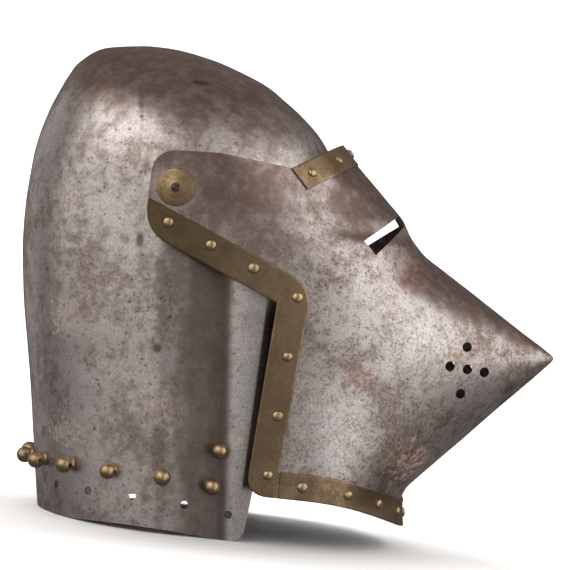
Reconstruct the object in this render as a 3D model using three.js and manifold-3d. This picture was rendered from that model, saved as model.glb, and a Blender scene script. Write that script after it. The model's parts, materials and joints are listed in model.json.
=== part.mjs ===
// Pig-faced bascinet: a steel skull open at the face, a snouted visor that turns on two side pivots,
// brass borders riveted along the visor's edges, and a row of pierced brass knobs round the skull's rim.
// Lengths are in millimetres. The helmet stands on its rim, +Z is up, +X is the way the snout points
// and +Y is the wearer's left. While the pieces are made, x is measured from the visor's pivots.
import * as THREE from "three";
import { mergeVertices } from "three/addons/utils/BufferGeometryUtils.js";
import Module from "manifold-3d";

const wasm = await Module();
wasm.setup();

const degrees = Math.PI / 180;

// Sizes that the rest follows
const pivotHeight = 230;
const tipReach = 272.3; // pivots to the snout's tip
const skullHalfWidth = 100;
const skullBack = 107.3; // pivots to the rearmost point
const discRadius = 12.4; // pivot discs
const borderWidth = 21; // brass borders of the visor's sides
const seatGap = 0.3; // between a piece and what it lies on
const clearOutside = 20; // how far cutting shapes run past the pieces

// Skull
const skullHeight = 1.4174 * pivotHeight;
const skullBrow = 0.4223 * tipReach; // pivots to the front of the forehead
const skullPlate = 1.6;
const creaseAngle = 65.5; // from straight ahead, where each cheek panel is folded outwards
const creaseDepth = 6;
const flareAngle = 51; // the fold's depth is lost from creaseAngle to this angle ahead of it
const creaseEndAngle = 94; // and to this one behind it
const creaseTop = 0.87 * pivotHeight; // the fold dies out from here up to the pivots' level
const faceEdgeFoot = 71.6; // x of the cheek's front edge, at the rim
const faceEdgeLean = 0.09; // how far that edge runs forward for each millimetre of height
const faceTop = pivotHeight + 4; // upper edge of the face opening
const faceTopRadius = 42;
const cheekCornerRadius = 9;
const rimArch = 3.5; // how high the rim's sides are hollowed between its feet
const rimBackFoot = -48; // x where the flat rear of the rim ends
const rimFrontFoot = 52; // x where the flat foot of each cheek begins

// Visor
const visorPlate = 1.5;
const armGap = 1.4; // between each arm and the skull, at the pivots
const armHalfWidth = skullHalfWidth + armGap + visorPlate; // to the outside of the arms
const armStraight = 15; // x up to which the arms run straight ahead
const taperRun = 100; // x past armStraight at which the sides' taper is measured
const tipHeight = pivotHeight - 86.2;
const tipRound = 1.4;
const snoutRise = 8.3; // the snout's axis points up by this many degrees
const snoutHalfAngle = 39.3;
const snoutBlend = 7; // width of the fold round the snout's root
const plateTurn = 58; // degrees from straight ahead, past which the face plate runs straight
const armBack = 17.2; // pivots to the rear end of each arm
const armTopRound = 19.5;
const armHeelRound = 18;
const armCrestX = 26.3;
const armCrestHeight = 1.113 * pivotHeight;
const browEndX = 74.6; // rear end of the brow edge, in the side view
const browEndHeight = 1.0965 * pivotHeight;
const browSlope = 33.5;
const elbowX = 75.7; // inside corner of the rear edge
const diagonalSlope = 21.4; // fall of the arm's lower edge
const discToBorder = 3.08; // between each pivot disc and the border below it
const diagonalDepth = discRadius + discToBorder + borderWidth / Math.cos(diagonalSlope * degrees);
const elbowHeight = pivotHeight - diagonalDepth - elbowX * Math.tan(diagonalSlope * degrees);
const rearEdgeLean = 2.5; // lean of the upright rear edge
const chinCornerRadius = 15;
const chinHeight = 33.3; // lower edge at the cheeks
const chinDrop = 17.6; // how much lower that edge is at the middle
const chinDropStart = 105; // x from which it falls
const chinReach = 0.6658 * tipReach;

// Sight and breaths
const bridgeWidth = 9;
const breathRadius = 3.4;
const breathCentre = [tipReach - 62.8, tipHeight - 12.3]; // x and height of the middle hole
const breathPitch = 12.6; // to the holes before and behind the middle one
const breathSlope = -5.2;
const breathUp = [-2, 15.1];
const breathDown = [-2.6, -17.1];

// The slots' corners in the side view: x as a share of tipReach, then the depth below the pivots.
// The left slot is narrower and ends further back.
const sights = [
  {
    side: -1,
    backTop: [0.4723, 20.2],
    frontTop: [0.5578, 0.5],
    frontBottom: [0.5773, 6.6],
    backBottom: [0.5046, 28.8],
  },
  {
    side: 1,
    backTop: [0.4723, 20.2],
    frontTop: [0.5545, 2.8],
    frontBottom: [0.5678, 7.8],
    backBottom: [0.4925, 25.6],
  },
];

// Brass borders
const brass = 1.1;
const borderElbowRadius = 16;
const chinBorderX = elbowX + 15.9; // where the chin border meets the side borders
const chinBorderWidth = 17.7;
const browBorderWidth = 17.5;
const browBorderTurn = 35; // slope of the brow border's cut ends

// Rivets
const rivetHeadRadius = 3.4;
const rivetHeadHeight = 1.9;
const rivetShankRadius = 1.4;
const rivetEnd = 0.5; // how far a rivet's or knob's shank stands out inside the plate
const holeClearance = 0.3;
const rivetLine = 0.61; // share of the border's width, from its outer edge
const diagonalStart = 24.5; // elbow to the first rivet of the sloping stretch
const diagonalPitch = 32;
const diagonalRivets = 3;
const uprightStart = 5.1; // how far above the elbow the first rivet of the upright stretch is
const uprightEnd = 14.7; // how far above the chin's edge the last one is
const uprightRivets = 4;
const uprightPitch = (elbowHeight + uprightStart - chinHeight - uprightEnd) / (uprightRivets - 1);
const chinRivets = [0.592, 0.7634, 0.8864, 0.968]; // x of those beside the middle one, of chinReach
const browRivets = [browEndX + 14, browEndX + 31.1];
const chinMiddleHeight = 24;
const browMiddleHeight = browEndHeight + 16.3;

// Pivots
const pinRadius = 2.2;
const pinTailRadius = 5;
const pinTailHeight = 1.6;
const discEdge = 1.4;
const discDome = 1.6;
const pinEndRadius = 2.9;
const pinEndHeight = 0.7;

// Knobs (vervelles) and rim holes
const knobRadius = 5.6;
const knobNeckRadius = 4.3;
const knobReach = 12.5; // from the skull to the knob's crown
const knobBore = 1.5;
const knobShank = 2;
const rimHoleRadius = 2.7;

// Where the knobs stand and the rim holes are on each side: the angle from the middle of the back, in
// degrees, and the height
const knobPlaces = [
  { angle: 10, height: 35 },
  { angle: 30, height: 35.5 },
  { angle: 50, height: 37.5 },
  { angle: 70, height: 38 },
  { angle: 90, height: 38.5 },
  { angle: 110, height: 35.5 },
  { angle: 113, height: 60 },
];
const rimHolePlaces = [
  { angle: 39.5, height: 21 },
  { angle: 59, height: 21.5 },
  { angle: 78.5, height: 23 },
  { angle: 99.5, height: 21 },
  { angle: 117, height: 17.5 },
];

// Horizontal sections of the skull, from the rim to the apex. up is a share of skullHeight, back,
// middle (the widest place) of skullBack, brow of skullBrow, wide of skullHalfWidth. square is the
// exponent of the front half's curve: 2 is an ellipse, more is boxier.
const skullSections = [
  { up: 0.0, back: -0.691, middle: 0.158, brow: 0.98, wide: 0.97, square: 3.2 },
  { up: 0.288, back: -0.849, middle: 0.075, brow: 0.98, wide: 0.985, square: 3.2 },
  { up: 0.423, back: -0.931, middle: 0.028, brow: 0.98, wide: 0.993, square: 3.1 },
  { up: 0.543, back: -0.987, middle: -0.01, brow: 0.99, wide: 1.0, square: 2.9 },
  { up: 0.629, back: -0.999, middle: -0.028, brow: 1.0, wide: 1.0, square: 2.6 },
  { up: 0.706, back: -0.99, middle: -0.047, brow: 0.995, wide: 0.999, square: 2.35 },
  { up: 0.767, back: -0.971, middle: -0.065, brow: 0.943, wide: 0.98, square: 2.2 },
  { up: 0.838, back: -0.918, middle: -0.103, brow: 0.821, wide: 0.904, square: 2.1 },
  { up: 0.887, back: -0.862, middle: -0.14, brow: 0.681, wide: 0.8, square: 2.0 },
  { up: 0.921, back: -0.815, middle: -0.172, brow: 0.548, wide: 0.687, square: 2.0 },
  { up: 0.948, back: -0.761, middle: -0.205, brow: 0.416, wide: 0.57, square: 2.0 },
  { up: 0.982, back: -0.624, middle: -0.252, brow: 0.143, wide: 0.35, square: 2.0 },
  { up: 0.998, back: -0.385, middle: -0.265, brow: -0.1, wide: 0.12, square: 2.0 },
  { up: 1.0, back: -0.267, middle: -0.267, brow: -0.249, wide: 0.0, square: 2.0 },
];

// Horizontal sections of the visor's face plate behind the snout. up is a share of pivotHeight, reach
// (its middle) and round (its radius) of tipReach, taper of armHalfWidth: how far the sides have
// closed in at taperRun past armStraight. ridge is the width over which face and sides are rounded
// into each other, a share of armHalfWidth.
const faceSections = [
  { up: 0.03, reach: 0.669, round: 0.411, taper: 0.092, ridge: 0.1 },
  { up: 0.17, reach: 0.652, round: 0.411, taper: 0.092, ridge: 0.14 },
  { up: 0.43, reach: 0.647, round: 0.411, taper: 0.068, ridge: 0.36 },
  { up: 0.65, reach: 0.639, round: 0.411, taper: 0.058, ridge: 0.3 },
  { up: 0.82, reach: 0.63, round: 0.418, taper: 0.1, ridge: 0.13 },
  { up: 0.896, reach: 0.618, round: 0.397, taper: 0.156, ridge: 0.1 },
  { up: 0.935, reach: 0.598, round: 0.36, taper: 0.204, ridge: 0.09 },
  { up: 0.974, reach: 0.579, round: 0.342, taper: 0.253, ridge: 0.09 },
  { up: 0.996, reach: 0.564, round: 0.338, taper: 0.292, ridge: 0.09 },
  { up: 1.048, reach: 0.518, round: 0.338, taper: 0.35, ridge: 0.09 },
  { up: 1.139, reach: 0.437, round: 0.33, taper: 0.37, ridge: 0.09 },
  { up: 1.2, reach: 0.384, round: 0.33, taper: 0.37, ridge: 0.09 },
];

// A smooth curve through four neighbours, at share f from b to c.
function curve(a, b, c, d, f) {
  const bend = 2 * a - 5 * b + 4 * c - d + f * (3 * (b - c) + d - a);
  return b + 0.5 * f * (c - a + f * bend);
}

function neighbours(rows, row) {
  const last = rows.length - 1;
  return [row - 1, row, row + 1, row + 2].map((k) => rows[THREE.MathUtils.clamp(k, 0, last)]);
}

// A table's columns at place t, counted in rows.
function between(rows, t) {
  const row = Math.min(Math.floor(t), rows.length - 2);
  const [a, b, c, d] = neighbours(rows, row);
  const found = {};
  for (const column of Object.keys(b)) {
    found[column] = curve(a[column], b[column], c[column], d[column], t - row);
  }
  return found;
}

// The place t in a table whose up column reaches a share.
function placeAt(rows, up) {
  const last = rows.length - 1;
  if (up <= rows[0].up) return 0;
  if (up >= rows[last].up) return last;
  const row = rows.findLastIndex((r) => r.up <= up);
  const [a, b, c, d] = neighbours(rows, row);
  let low = 0;
  let high = 1;
  for (let step = 0; step < 18; step++) {
    const half = (low + high) / 2;
    if (curve(a.up, b.up, c.up, d.up, half) < up) low = half;
    else high = half;
  }
  return row + low;
}

// Skull surface: the point at place t up the table and angle turn from straight ahead, in radians.
function skullPoint(t, turn) {
  const s = between(skullSections, t);
  const height = s.up * skullHeight;
  const middle = s.middle * skullBack;
  const wide = Math.max(s.wide * skullHalfWidth, 0.001);
  const ahead = Math.cos(turn) > 0;
  const long = Math.max(ahead ? s.brow * skullBrow - middle : middle - s.back * skullBack, 0.001);
  const power = ahead ? s.square : 2;
  const sum = Math.abs(Math.cos(turn) / long) ** power + Math.abs(Math.sin(turn) / wide) ** power;
  const radius = sum ** (-1 / power) - creaseAt(turn, height);
  return new THREE.Vector3(middle + radius * Math.cos(turn), radius * Math.sin(turn), height);
}

// How far the cheek fold draws the skull in, at an angle and height.
function creaseAt(turn, height) {
  const off = Math.abs(Math.atan2(Math.sin(turn), Math.cos(turn))) / degrees;
  const depth = creaseDepth * (1 - THREE.MathUtils.smoothstep(height, creaseTop, pivotHeight));
  const ahead = THREE.MathUtils.clamp((off - flareAngle) / (creaseAngle - flareAngle), 0, 1);
  return depth * ahead * (1 - THREE.MathUtils.smoothstep(off, creaseAngle, creaseEndAngle));
}

// The skull's outward direction, from its slopes along both parameters.
function skullOutward(t, turn) {
  const step = 0.01;
  const top = skullSections.length - 1;
  if (t > top - 2 * step) return new THREE.Vector3(0, 0, 1);
  const alongT = skullPoint(t + step, turn).sub(skullPoint(Math.max(t - step, 0), turn));
  const alongTurn = skullPoint(t, turn + step).sub(skullPoint(t, turn - step));
  return alongTurn.cross(alongT).normalize();
}

function smoothLower(a, b, width) {
  const h = Math.max(width - Math.abs(a - b), 0) / width;
  return Math.min(a, b) - (h * h * width) / 4;
}

function smoothUpper(a, b, width) {
  return -smoothLower(-a, -b, width);
}

// Distance outside the visor's outer face, about zero on it: the face plate and the snout joined,
// between two cheeks.
function visorField(p) {
  const s = between(faceSections, placeAt(faceSections, p.z / pivotHeight));
  const round = s.round * tipReach;
  const ahead = p.x - s.reach * tipReach + round;
  const off = Math.abs(p.y);
  const turn = Math.min(Math.atan2(off, ahead), plateTurn * degrees);
  const plate = ahead * Math.cos(turn) + off * Math.sin(turn) - round;
  const past = Math.max(p.x - armStraight, 0) / taperRun;
  const cheek = off - armHalfWidth * (1 - s.taper * past * past);
  const rise = snoutRise * degrees;
  const half = snoutHalfAngle * degrees;
  const back = (tipReach - p.x) * Math.cos(rise) + (tipHeight - p.z) * Math.sin(rise);
  const over = (tipReach - p.x) * Math.sin(rise) - (tipHeight - p.z) * Math.cos(rise);
  const fromAxis = Math.hypot(off, over, tipRound);
  const snout = fromAxis * Math.cos(half) - (back + tipRound / Math.tan(half)) * Math.sin(half);
  return smoothUpper(smoothLower(plate, snout, snoutBlend), cheek, s.ridge * armHalfWidth);
}

const headCentre = new THREE.Vector3(0.2203 * tipReach, 0, 0.5565 * pivotHeight);
const snoutAxis = new THREE.Vector3(tipReach, 0, tipHeight).sub(headCentre).normalize();
const visorTop = 1.26 * pivotHeight;
const visorFoot = -10;

// Where a ray from inside the head leaves the visor, or a skin a distance out from it: fall is the
// angle off the line to the snout's tip, turn the angle round that line from straight up.
function visorPoint(fall, turn, out) {
  const side = new THREE.Vector3(0, 1, 0);
  const up = new THREE.Vector3().crossVectors(snoutAxis, side);
  const way = snoutAxis.clone().multiplyScalar(Math.cos(fall));
  way.addScaledVector(up, Math.sin(fall) * Math.cos(turn));
  way.addScaledVector(side, Math.sin(fall) * Math.sin(turn));
  const limit = way.z > 0 ? visorTop + out : visorFoot - out;
  let near = 20;
  let far = Math.min(2 * tipReach, (limit - headCentre.z) / way.z);
  for (let step = 0; step < 40; step++) {
    const half = (near + far) / 2;
    if (visorField(headCentre.clone().addScaledVector(way, half)) < out) near = half;
    else far = half;
  }
  return headCentre.clone().addScaledVector(way, near);
}

// Solids
function solid(geometry) {
  const bare = geometry.index ? geometry.toNonIndexed() : geometry.clone();
  bare.deleteAttribute("normal");
  bare.deleteAttribute("uv");
  const merged = mergeVertices(bare, 1e-4);
  const corners = Array.from(merged.index.array);
  const triVerts = [];
  for (let k = 0; k < corners.length; k += 3) {
    const [a, b, c] = corners.slice(k, k + 3);
    if (a !== b && b !== c && c !== a) triVerts.push(a, b, c);
  }
  const vertProperties = merged.attributes.position.array;
  const mesh = new wasm.Mesh({ numProp: 3, vertProperties, triVerts: new Uint32Array(triVerts) });
  return new wasm.Manifold(mesh);
}

function geometryOf(made) {
  const mesh = made.getMesh();
  const geometry = new THREE.BufferGeometry();
  geometry.setAttribute("position", new THREE.BufferAttribute(new Float32Array(mesh.vertProperties), 3));
  geometry.setIndex(new THREE.BufferAttribute(new Uint32Array(mesh.triVerts), 1));
  geometry.computeVertexNormals();
  return geometry;
}

// A closed wall between two sheets of rings. Each sheet starts at one pole point, and each ring holds
// one point for each column; the last rings are joined by the wall's edge.
function wall(outer, inner) {
  const columns = outer.rings[0].length;
  const sheetSize = 1 + outer.rings.length * columns;
  const positions = [];
  for (const sheet of [outer, inner]) {
    positions.push(...sheet.pole.toArray());
    for (const ring of sheet.rings) for (const point of ring) positions.push(...point.toArray());
  }
  const index = [];
  const at = (sheet, ring, column) => sheet * sheetSize + 1 + ring * columns + (column % columns);
  const last = outer.rings.length - 1;
  for (let column = 0; column < columns; column++) {
    index.push(0, at(0, 0, column), at(0, 0, column + 1));
    index.push(sheetSize, at(1, 0, column + 1), at(1, 0, column));
    for (let ring = 0; ring < last; ring++) {
      const [a, b] = [at(0, ring, column), at(0, ring + 1, column)];
      const [c, d] = [at(0, ring + 1, column + 1), at(0, ring, column + 1)];
      const [e, f, g, h] = [a, b, c, d].map((corner) => corner + sheetSize);
      index.push(a, b, c, a, c, d, e, g, f, e, h, g);
    }
    const [a, b] = [at(0, last, column), at(0, last, column + 1)];
    index.push(a, a + sheetSize, b, b, a + sheetSize, b + sheetSize);
  }
  const geometry = new THREE.BufferGeometry();
  geometry.setAttribute("position", new THREE.Float32BufferAttribute(positions, 3));
  geometry.setIndex(index);
  return solid(geometry);
}

// A side-view outline carried across the helmet, from one y to another.
function across(shape, from, to) {
  const settings = { depth: to - from, bevelEnabled: false, curveSegments: 6 };
  const geometry = new THREE.ExtrudeGeometry(shape, settings);
  geometry.rotateX(90 * degrees);
  geometry.translate(0, to, 0);
  return solid(geometry);
}

function alongWay(geometry, seat) {
  geometry.applyQuaternion(new THREE.Quaternion().setFromUnitVectors(new THREE.Vector3(0, 1, 0), seat.way));
  return geometry.translate(seat.point.x, seat.point.y, seat.point.z);
}

// A turned piece whose profile is given as [radius, height] along the seat's way.
function turned(profile, seat, sides) {
  const points = profile.map(([radius, height]) => new THREE.Vector2(radius, height));
  return solid(alongWay(new THREE.LatheGeometry(points, sides), seat));
}

function rod(seat, radius, from, to, sides) {
  return turned([[0, from], [radius, from], [radius, to], [0, to]], seat, sides);
}

// A rod to cut a hole with, whose flats stand a clearance off a shank of a radius.
function holeRod(seat, shank, sides) {
  return rod(seat, (shank + holeClearance) / Math.cos(Math.PI / sides), -12, 6, sides);
}

// A surface that rays can land on.
function target(made) {
  return new THREE.Mesh(geometryOf(made), new THREE.MeshBasicMaterial({ side: THREE.DoubleSide }));
}

// Where a ray first meets a surface, and the way out of it there.
function landing(surface, from, way) {
  const hit = new THREE.Raycaster(from, way.clone().normalize()).intersectObject(surface)[0];
  const out = hit.face.normal.clone();
  return { point: hit.point, way: out.dot(way) > 0 ? out.negate() : out };
}

// How far a surface stands out from a seat within a radius, on its outer side or, for a side of -1,
// on the inner side of the plate below it.
function standing(surface, seat, radius, side) {
  const reach = 12;
  const level = new THREE.Quaternion().setFromUnitVectors(new THREE.Vector3(0, 1, 0), seat.way);
  const heights = [];
  for (let k = 0; k <= 8; k++) {
    const spoke = new THREE.Vector3(Math.cos((k * Math.PI) / 4), 0, Math.sin((k * Math.PI) / 4));
    const from = seat.point.clone().addScaledVector(seat.way, side * reach);
    from.addScaledVector(spoke.applyQuaternion(level), k === 8 ? 0 : radius);
    const hits = new THREE.Raycaster(from, seat.way.clone().multiplyScalar(-side)).intersectObject(surface);
    if (hits.length) heights.push(reach - hits[0].distance);
  }
  return Math.max(...heights);
}

const farOut = 1.3 * tipReach; // past everything in a side view
const sideways = 1.3 * armHalfWidth;

// Skull
const aheadColumns = 6;
const behindColumns = 9;
const halfColumns = [];
for (let k = 0; k < aheadColumns; k++) halfColumns.push((creaseAngle * k) / aheadColumns);
for (let k = 0; k <= behindColumns; k++) {
  halfColumns.push(creaseAngle + ((180 - creaseAngle) * k) / behindColumns);
}
const otherColumns = halfColumns.slice(1, -1).reverse();
const skullColumns = [...halfColumns, ...otherColumns.map((column) => 360 - column)];

function skullSheet(depth) {
  const top = skullSections.length - 1;
  const rings = [];
  for (let row = top - 1; row >= 0; row--) {
    const ring = skullColumns.map((column) => {
      const turn = column * degrees;
      const point = skullPoint(row, turn).addScaledVector(skullOutward(row, turn), -depth);
      return row === 0 ? point.setZ(0) : point;
    });
    rings.push(ring);
  }
  return { pole: skullPoint(top, 0).add(new THREE.Vector3(0, 0, -depth)), rings };
}

function faceOpening() {
  const edgeAt = (height) => faceEdgeFoot + faceEdgeLean * height;
  const cornerTop = faceTop - faceTopRadius;
  const shape = new THREE.Shape();
  shape.moveTo(rimFrontFoot + cheekCornerRadius, -clearOutside);
  shape.lineTo(rimFrontFoot + cheekCornerRadius, 0);
  shape.quadraticCurveTo(edgeAt(0), 0, edgeAt(cheekCornerRadius), cheekCornerRadius);
  shape.lineTo(edgeAt(cornerTop), cornerTop);
  shape.quadraticCurveTo(edgeAt(faceTop), faceTop, edgeAt(faceTop) + faceTopRadius, faceTop);
  shape.lineTo(farOut, faceTop);
  shape.lineTo(farOut, -clearOutside);
  shape.closePath();
  return across(shape, -sideways, sideways);
}

function rimHollow() {
  const shape = new THREE.Shape();
  shape.moveTo(rimBackFoot, -clearOutside);
  shape.lineTo(rimBackFoot, 0);
  shape.quadraticCurveTo((rimBackFoot + rimFrontFoot) / 2, 2 * rimArch, rimFrontFoot, 0);
  shape.lineTo(rimFrontFoot, -clearOutside);
  shape.closePath();
  return across(shape, -sideways, sideways);
}

const skullWall = wall(skullSheet(0), skullSheet(skullPlate));
const skullSurface = target(skullWall);

// The place on the skull at a height and angle from the middle of the back, on the left for side 1.
function skullSeat(height, angle, side) {
  const middle = between(skullSections, placeAt(skullSections, height / skullHeight)).middle * skullBack;
  const turn = (180 - angle) * degrees;
  const way = new THREE.Vector3(Math.cos(turn), side * Math.sin(turn), 0);
  const from = new THREE.Vector3(middle, 0, height).addScaledVector(way, 2 * skullBack);
  return landing(skullSurface, from, way.negate());
}

// Visor and its borders
const falls = [9, 19, 29, 38, 47, 57, 67, 78, 90, 102, 113, 124];
const visorColumns = 28;

function visorSheet(out) {
  const turnAt = (column) => (-360 * degrees * column) / visorColumns;
  const columns = Array.from({ length: visorColumns }, (_, column) => turnAt(column));
  const rings = falls.map((fall) => columns.map((turn) => visorPoint(fall * degrees, turn, out)));
  return { pole: visorPoint(0, 0, out), rings };
}

const chinDropAt = (x) => chinDrop * (Math.max(x - chinDropStart, 0) / (chinReach - chinDropStart)) ** 2.4;
const browAt = (x) => browEndHeight + (x - browEndX) * Math.tan(browSlope * degrees);
const diagonalAt = (x) => elbowHeight + (elbowX - x) * Math.tan(diagonalSlope * degrees);
const rearEdgeAt = (height) => elbowX - (elbowHeight - height) * Math.tan(rearEdgeLean * degrees);

// A line level with the chin's edge, raised by a height, from one x to another.
function chinLine(shape, raised, from, to) {
  const steps = 8;
  for (let k = 0; k <= steps; k++) {
    const x = from + ((to - from) * k) / steps;
    shape.lineTo(x, chinHeight + raised - chinDropAt(x));
  }
}

function visorOutline() {
  const shape = new THREE.Shape();
  const heelX = armHeelRound * Math.cos(diagonalSlope * degrees) - armBack;
  shape.moveTo(-armBack, diagonalAt(-armBack) + armHeelRound);
  shape.quadraticCurveTo(-armBack, diagonalAt(-armBack), heelX, diagonalAt(heelX));
  shape.lineTo(elbowX, elbowHeight);
  const chinCornerX = rearEdgeAt(chinHeight);
  shape.lineTo(rearEdgeAt(chinHeight + chinCornerRadius), chinHeight + chinCornerRadius);
  shape.quadraticCurveTo(chinCornerX, chinHeight, chinCornerX + chinCornerRadius, chinHeight);
  chinLine(shape, 0, chinBorderX, chinReach);
  shape.lineTo(farOut, chinHeight - chinDrop);
  shape.lineTo(farOut, browAt(tipReach));
  shape.lineTo(tipReach, browAt(tipReach));
  shape.lineTo(browEndX, browEndHeight);
  shape.lineTo(armCrestX, armCrestHeight);
  shape.lineTo(armTopRound - armBack, armCrestHeight - 1.5);
  shape.quadraticCurveTo(-armBack, armCrestHeight - 1.5, -armBack, armCrestHeight - armTopRound);
  shape.closePath();
  return shape;
}

function sideStrip() {
  const innerDiagonal = (x) => diagonalAt(x) + borderWidth / Math.cos(diagonalSlope * degrees);
  const innerRear = (height) => rearEdgeAt(height) + borderWidth;
  const cornerX = innerRear(elbowHeight + borderElbowRadius / 2);
  const shape = new THREE.Shape();
  shape.moveTo(-2 * armBack, -clearOutside);
  shape.lineTo(chinBorderX - seatGap / 2, -clearOutside);
  shape.lineTo(chinBorderX - seatGap / 2, chinHeight + chinBorderWidth);
  shape.lineTo(innerRear(elbowHeight), innerDiagonal(cornerX) - borderElbowRadius);
  const bendEnd = cornerX - borderElbowRadius;
  shape.quadraticCurveTo(cornerX, innerDiagonal(cornerX), bendEnd, innerDiagonal(bendEnd));
  shape.lineTo(-2 * armBack, innerDiagonal(-2 * armBack));
  shape.closePath();
  return shape;
}

function chinStrip() {
  const shape = new THREE.Shape();
  shape.moveTo(farOut, -clearOutside);
  shape.lineTo(farOut, chinHeight + chinBorderWidth - chinDrop);
  chinLine(shape, chinBorderWidth, chinReach, chinBorderX + seatGap / 2);
  shape.lineTo(chinBorderX + seatGap / 2, -clearOutside);
  shape.closePath();
  return shape;
}

function browStrip() {
  const width = browBorderWidth / Math.cos(browSlope * degrees);
  const endX = browEndX + browBorderWidth * Math.cos(browBorderTurn * degrees) - 2;
  const shape = new THREE.Shape();
  shape.moveTo(browEndX, browEndHeight);
  shape.lineTo(endX, browAt(endX) - width);
  shape.lineTo(tipReach, browAt(tipReach) - width);
  shape.lineTo(tipReach, browAt(tipReach) + clearOutside);
  shape.lineTo(browEndX, browAt(tipReach) + clearOutside);
  shape.closePath();
  return shape;
}

const outline = across(visorOutline(), -sideways, sideways);
const visorWall = wall(visorSheet(0), visorSheet(-visorPlate)).intersect(outline);
const borderWall = wall(visorSheet(seatGap + brass), visorSheet(seatGap)).intersect(outline);
const visorSurface = target(visorWall);
const borderSurface = target(borderWall);

// The place on the borders at a spot of the side view, or on the middle line for side 0.
function borderSeat(x, height, side) {
  const from = new THREE.Vector3(side === 0 ? farOut : x, side * sideways, height);
  const way = side === 0 ? new THREE.Vector3(-1, 0, 0) : new THREE.Vector3(0, -side, 0);
  return landing(borderSurface, from, way);
}

// Rivets
const rivets = [];
const rivetSides = 6;

function addRivet(name, x, height, side) {
  const seat = borderSeat(x, height, side);
  const head = standing(borderSurface, seat, rivetHeadRadius, 1) + seatGap;
  const tail = -standing(visorSurface, seat, rivetShankRadius, -1) - rivetEnd;
  const profile = [
    [0, tail],
    [rivetShankRadius, tail],
    [rivetShankRadius, head],
    [rivetHeadRadius, head],
    [0.72 * rivetHeadRadius, head + 0.7 * rivetHeadHeight],
    [0, head + rivetHeadHeight],
  ];
  const hole = holeRod(seat, rivetShankRadius, rivetSides);
  rivets.push({ name, made: turned(profile, seat, rivetSides), hole });
}

const sides = [{ name: "right", side: -1 }, { name: "left", side: 1 }];
for (const { name, side } of sides) {
  const slope = diagonalSlope * degrees;
  const inset = rivetLine * borderWidth;
  for (let k = 0; k < diagonalRivets; k++) {
    const along = diagonalStart + diagonalPitch * k;
    const x = elbowX - along * Math.cos(slope) + inset * Math.sin(slope);
    addRivet(`side_rivet_${name}_${diagonalRivets - k}`, x, diagonalAt(x) + inset / Math.cos(slope), side);
  }
  for (let k = 0; k < uprightRivets; k++) {
    const height = elbowHeight + uprightStart - uprightPitch * k;
    addRivet(`side_rivet_${name}_${diagonalRivets + 1 + k}`, rearEdgeAt(height) + inset, height, side);
  }
  chinRivets.forEach((share, k) => {
    const x = share * chinReach;
    addRivet(`chin_rivet_${name}_${k + 1}`, x, chinHeight + chinBorderWidth / 2 - chinDropAt(x), side);
  });
  browRivets.forEach((x, k) => {
    const down = browBorderWidth / 2 / Math.cos(browSlope * degrees);
    addRivet(`brow_rivet_${name}_${k + 1}`, x, browAt(x) - down, side);
  });
}
addRivet("chin_rivet_middle", chinReach, chinMiddleHeight, 0);
addRivet("brow_rivet_middle", browEndX, browMiddleHeight, 0);

// Pivots
const pinSides = 8;
const discSides = 16;
const pivots = sides.map(({ name, side }) => {
  const way = new THREE.Vector3(0, side, 0);
  const seat = { point: new THREE.Vector3(0, side * armHalfWidth, pivotHeight), way };
  const disc = standing(visorSurface, seat, discRadius, 1) + seatGap;
  const top = disc + discEdge + discDome;
  const bore = (pinRadius + holeClearance) / Math.cos(Math.PI / discSides);
  const rimTop = [0.97 * discRadius, disc + discEdge];
  const ring = [[bore, disc], [discRadius, disc], rimTop, [bore, top], [bore, disc]];
  const tail = -standing(skullSurface, seat, pinTailRadius, -1) - seatGap;
  const profile = [
    [0, tail - pinTailHeight],
    [pinTailRadius, tail - pinTailHeight],
    [pinTailRadius, tail],
    [pinRadius, tail],
    [pinRadius, top + seatGap],
    [pinEndRadius, top + seatGap],
    [0.7 * pinEndRadius, top + seatGap + pinEndHeight],
    [0, top + seatGap + pinEndHeight],
  ];
  const hole = holeRod(seat, pinRadius, pinSides);
  return { name, disc: turned(ring, seat, discSides), pin: turned(profile, seat, pinSides), hole };
});

// Knobs along the rim
const knobSides = 6;
const boreSides = 5;
const knobs = [];

function addKnob(name, height, angle, side) {
  const seat = skullSeat(height, angle, side);
  const foot = standing(skullSurface, seat, knobNeckRadius, 1) + seatGap;
  const tail = -standing(skullSurface, seat, knobShank, -1) - rivetEnd;
  const crown = knobReach;
  const profile = [
    [0, tail],
    [knobShank, tail],
    [knobShank, foot],
    [knobNeckRadius, foot],
    [knobRadius, crown - knobRadius],
    [0.75 * knobRadius, crown - 0.3 * knobRadius],
    [0, crown],
  ];
  const centre = seat.point.clone().addScaledVector(seat.way, crown - 1.15 * knobRadius);
  const rim = new THREE.Vector3(0, 0, 1).cross(seat.way).normalize();
  const bore = rod({ point: centre, way: rim }, knobBore, -2 * knobRadius, 2 * knobRadius, boreSides);
  const hole = holeRod(seat, knobShank, boreSides);
  knobs.push({ name, made: turned(profile, seat, knobSides).subtract(bore), hole });
}

for (const { name, side } of sides) {
  knobPlaces.forEach(({ angle, height }, k) => addKnob(`knob_${name}_${k + 1}`, height, angle, side));
}

const rimHoleSides = 7;
const rimHoles = [];
for (const { side } of sides) {
  for (const { angle, height } of rimHolePlaces) {
    rimHoles.push(rod(skullSeat(height, angle, side), rimHoleRadius, -10, 6, rimHoleSides));
  }
}

// Openings cut through the visor
function sight({ side, backTop, frontTop, frontBottom, backBottom }) {
  const corners = [backTop, frontTop, frontBottom, backBottom];
  const places = corners.map(([share, depth]) => new THREE.Vector2(share * tipReach, pivotHeight - depth));
  const ends = [side * (bridgeWidth / 2), side * sideways];
  return across(new THREE.Shape(places), Math.min(...ends), Math.max(...ends));
}

const breathSides = 7;

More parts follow.
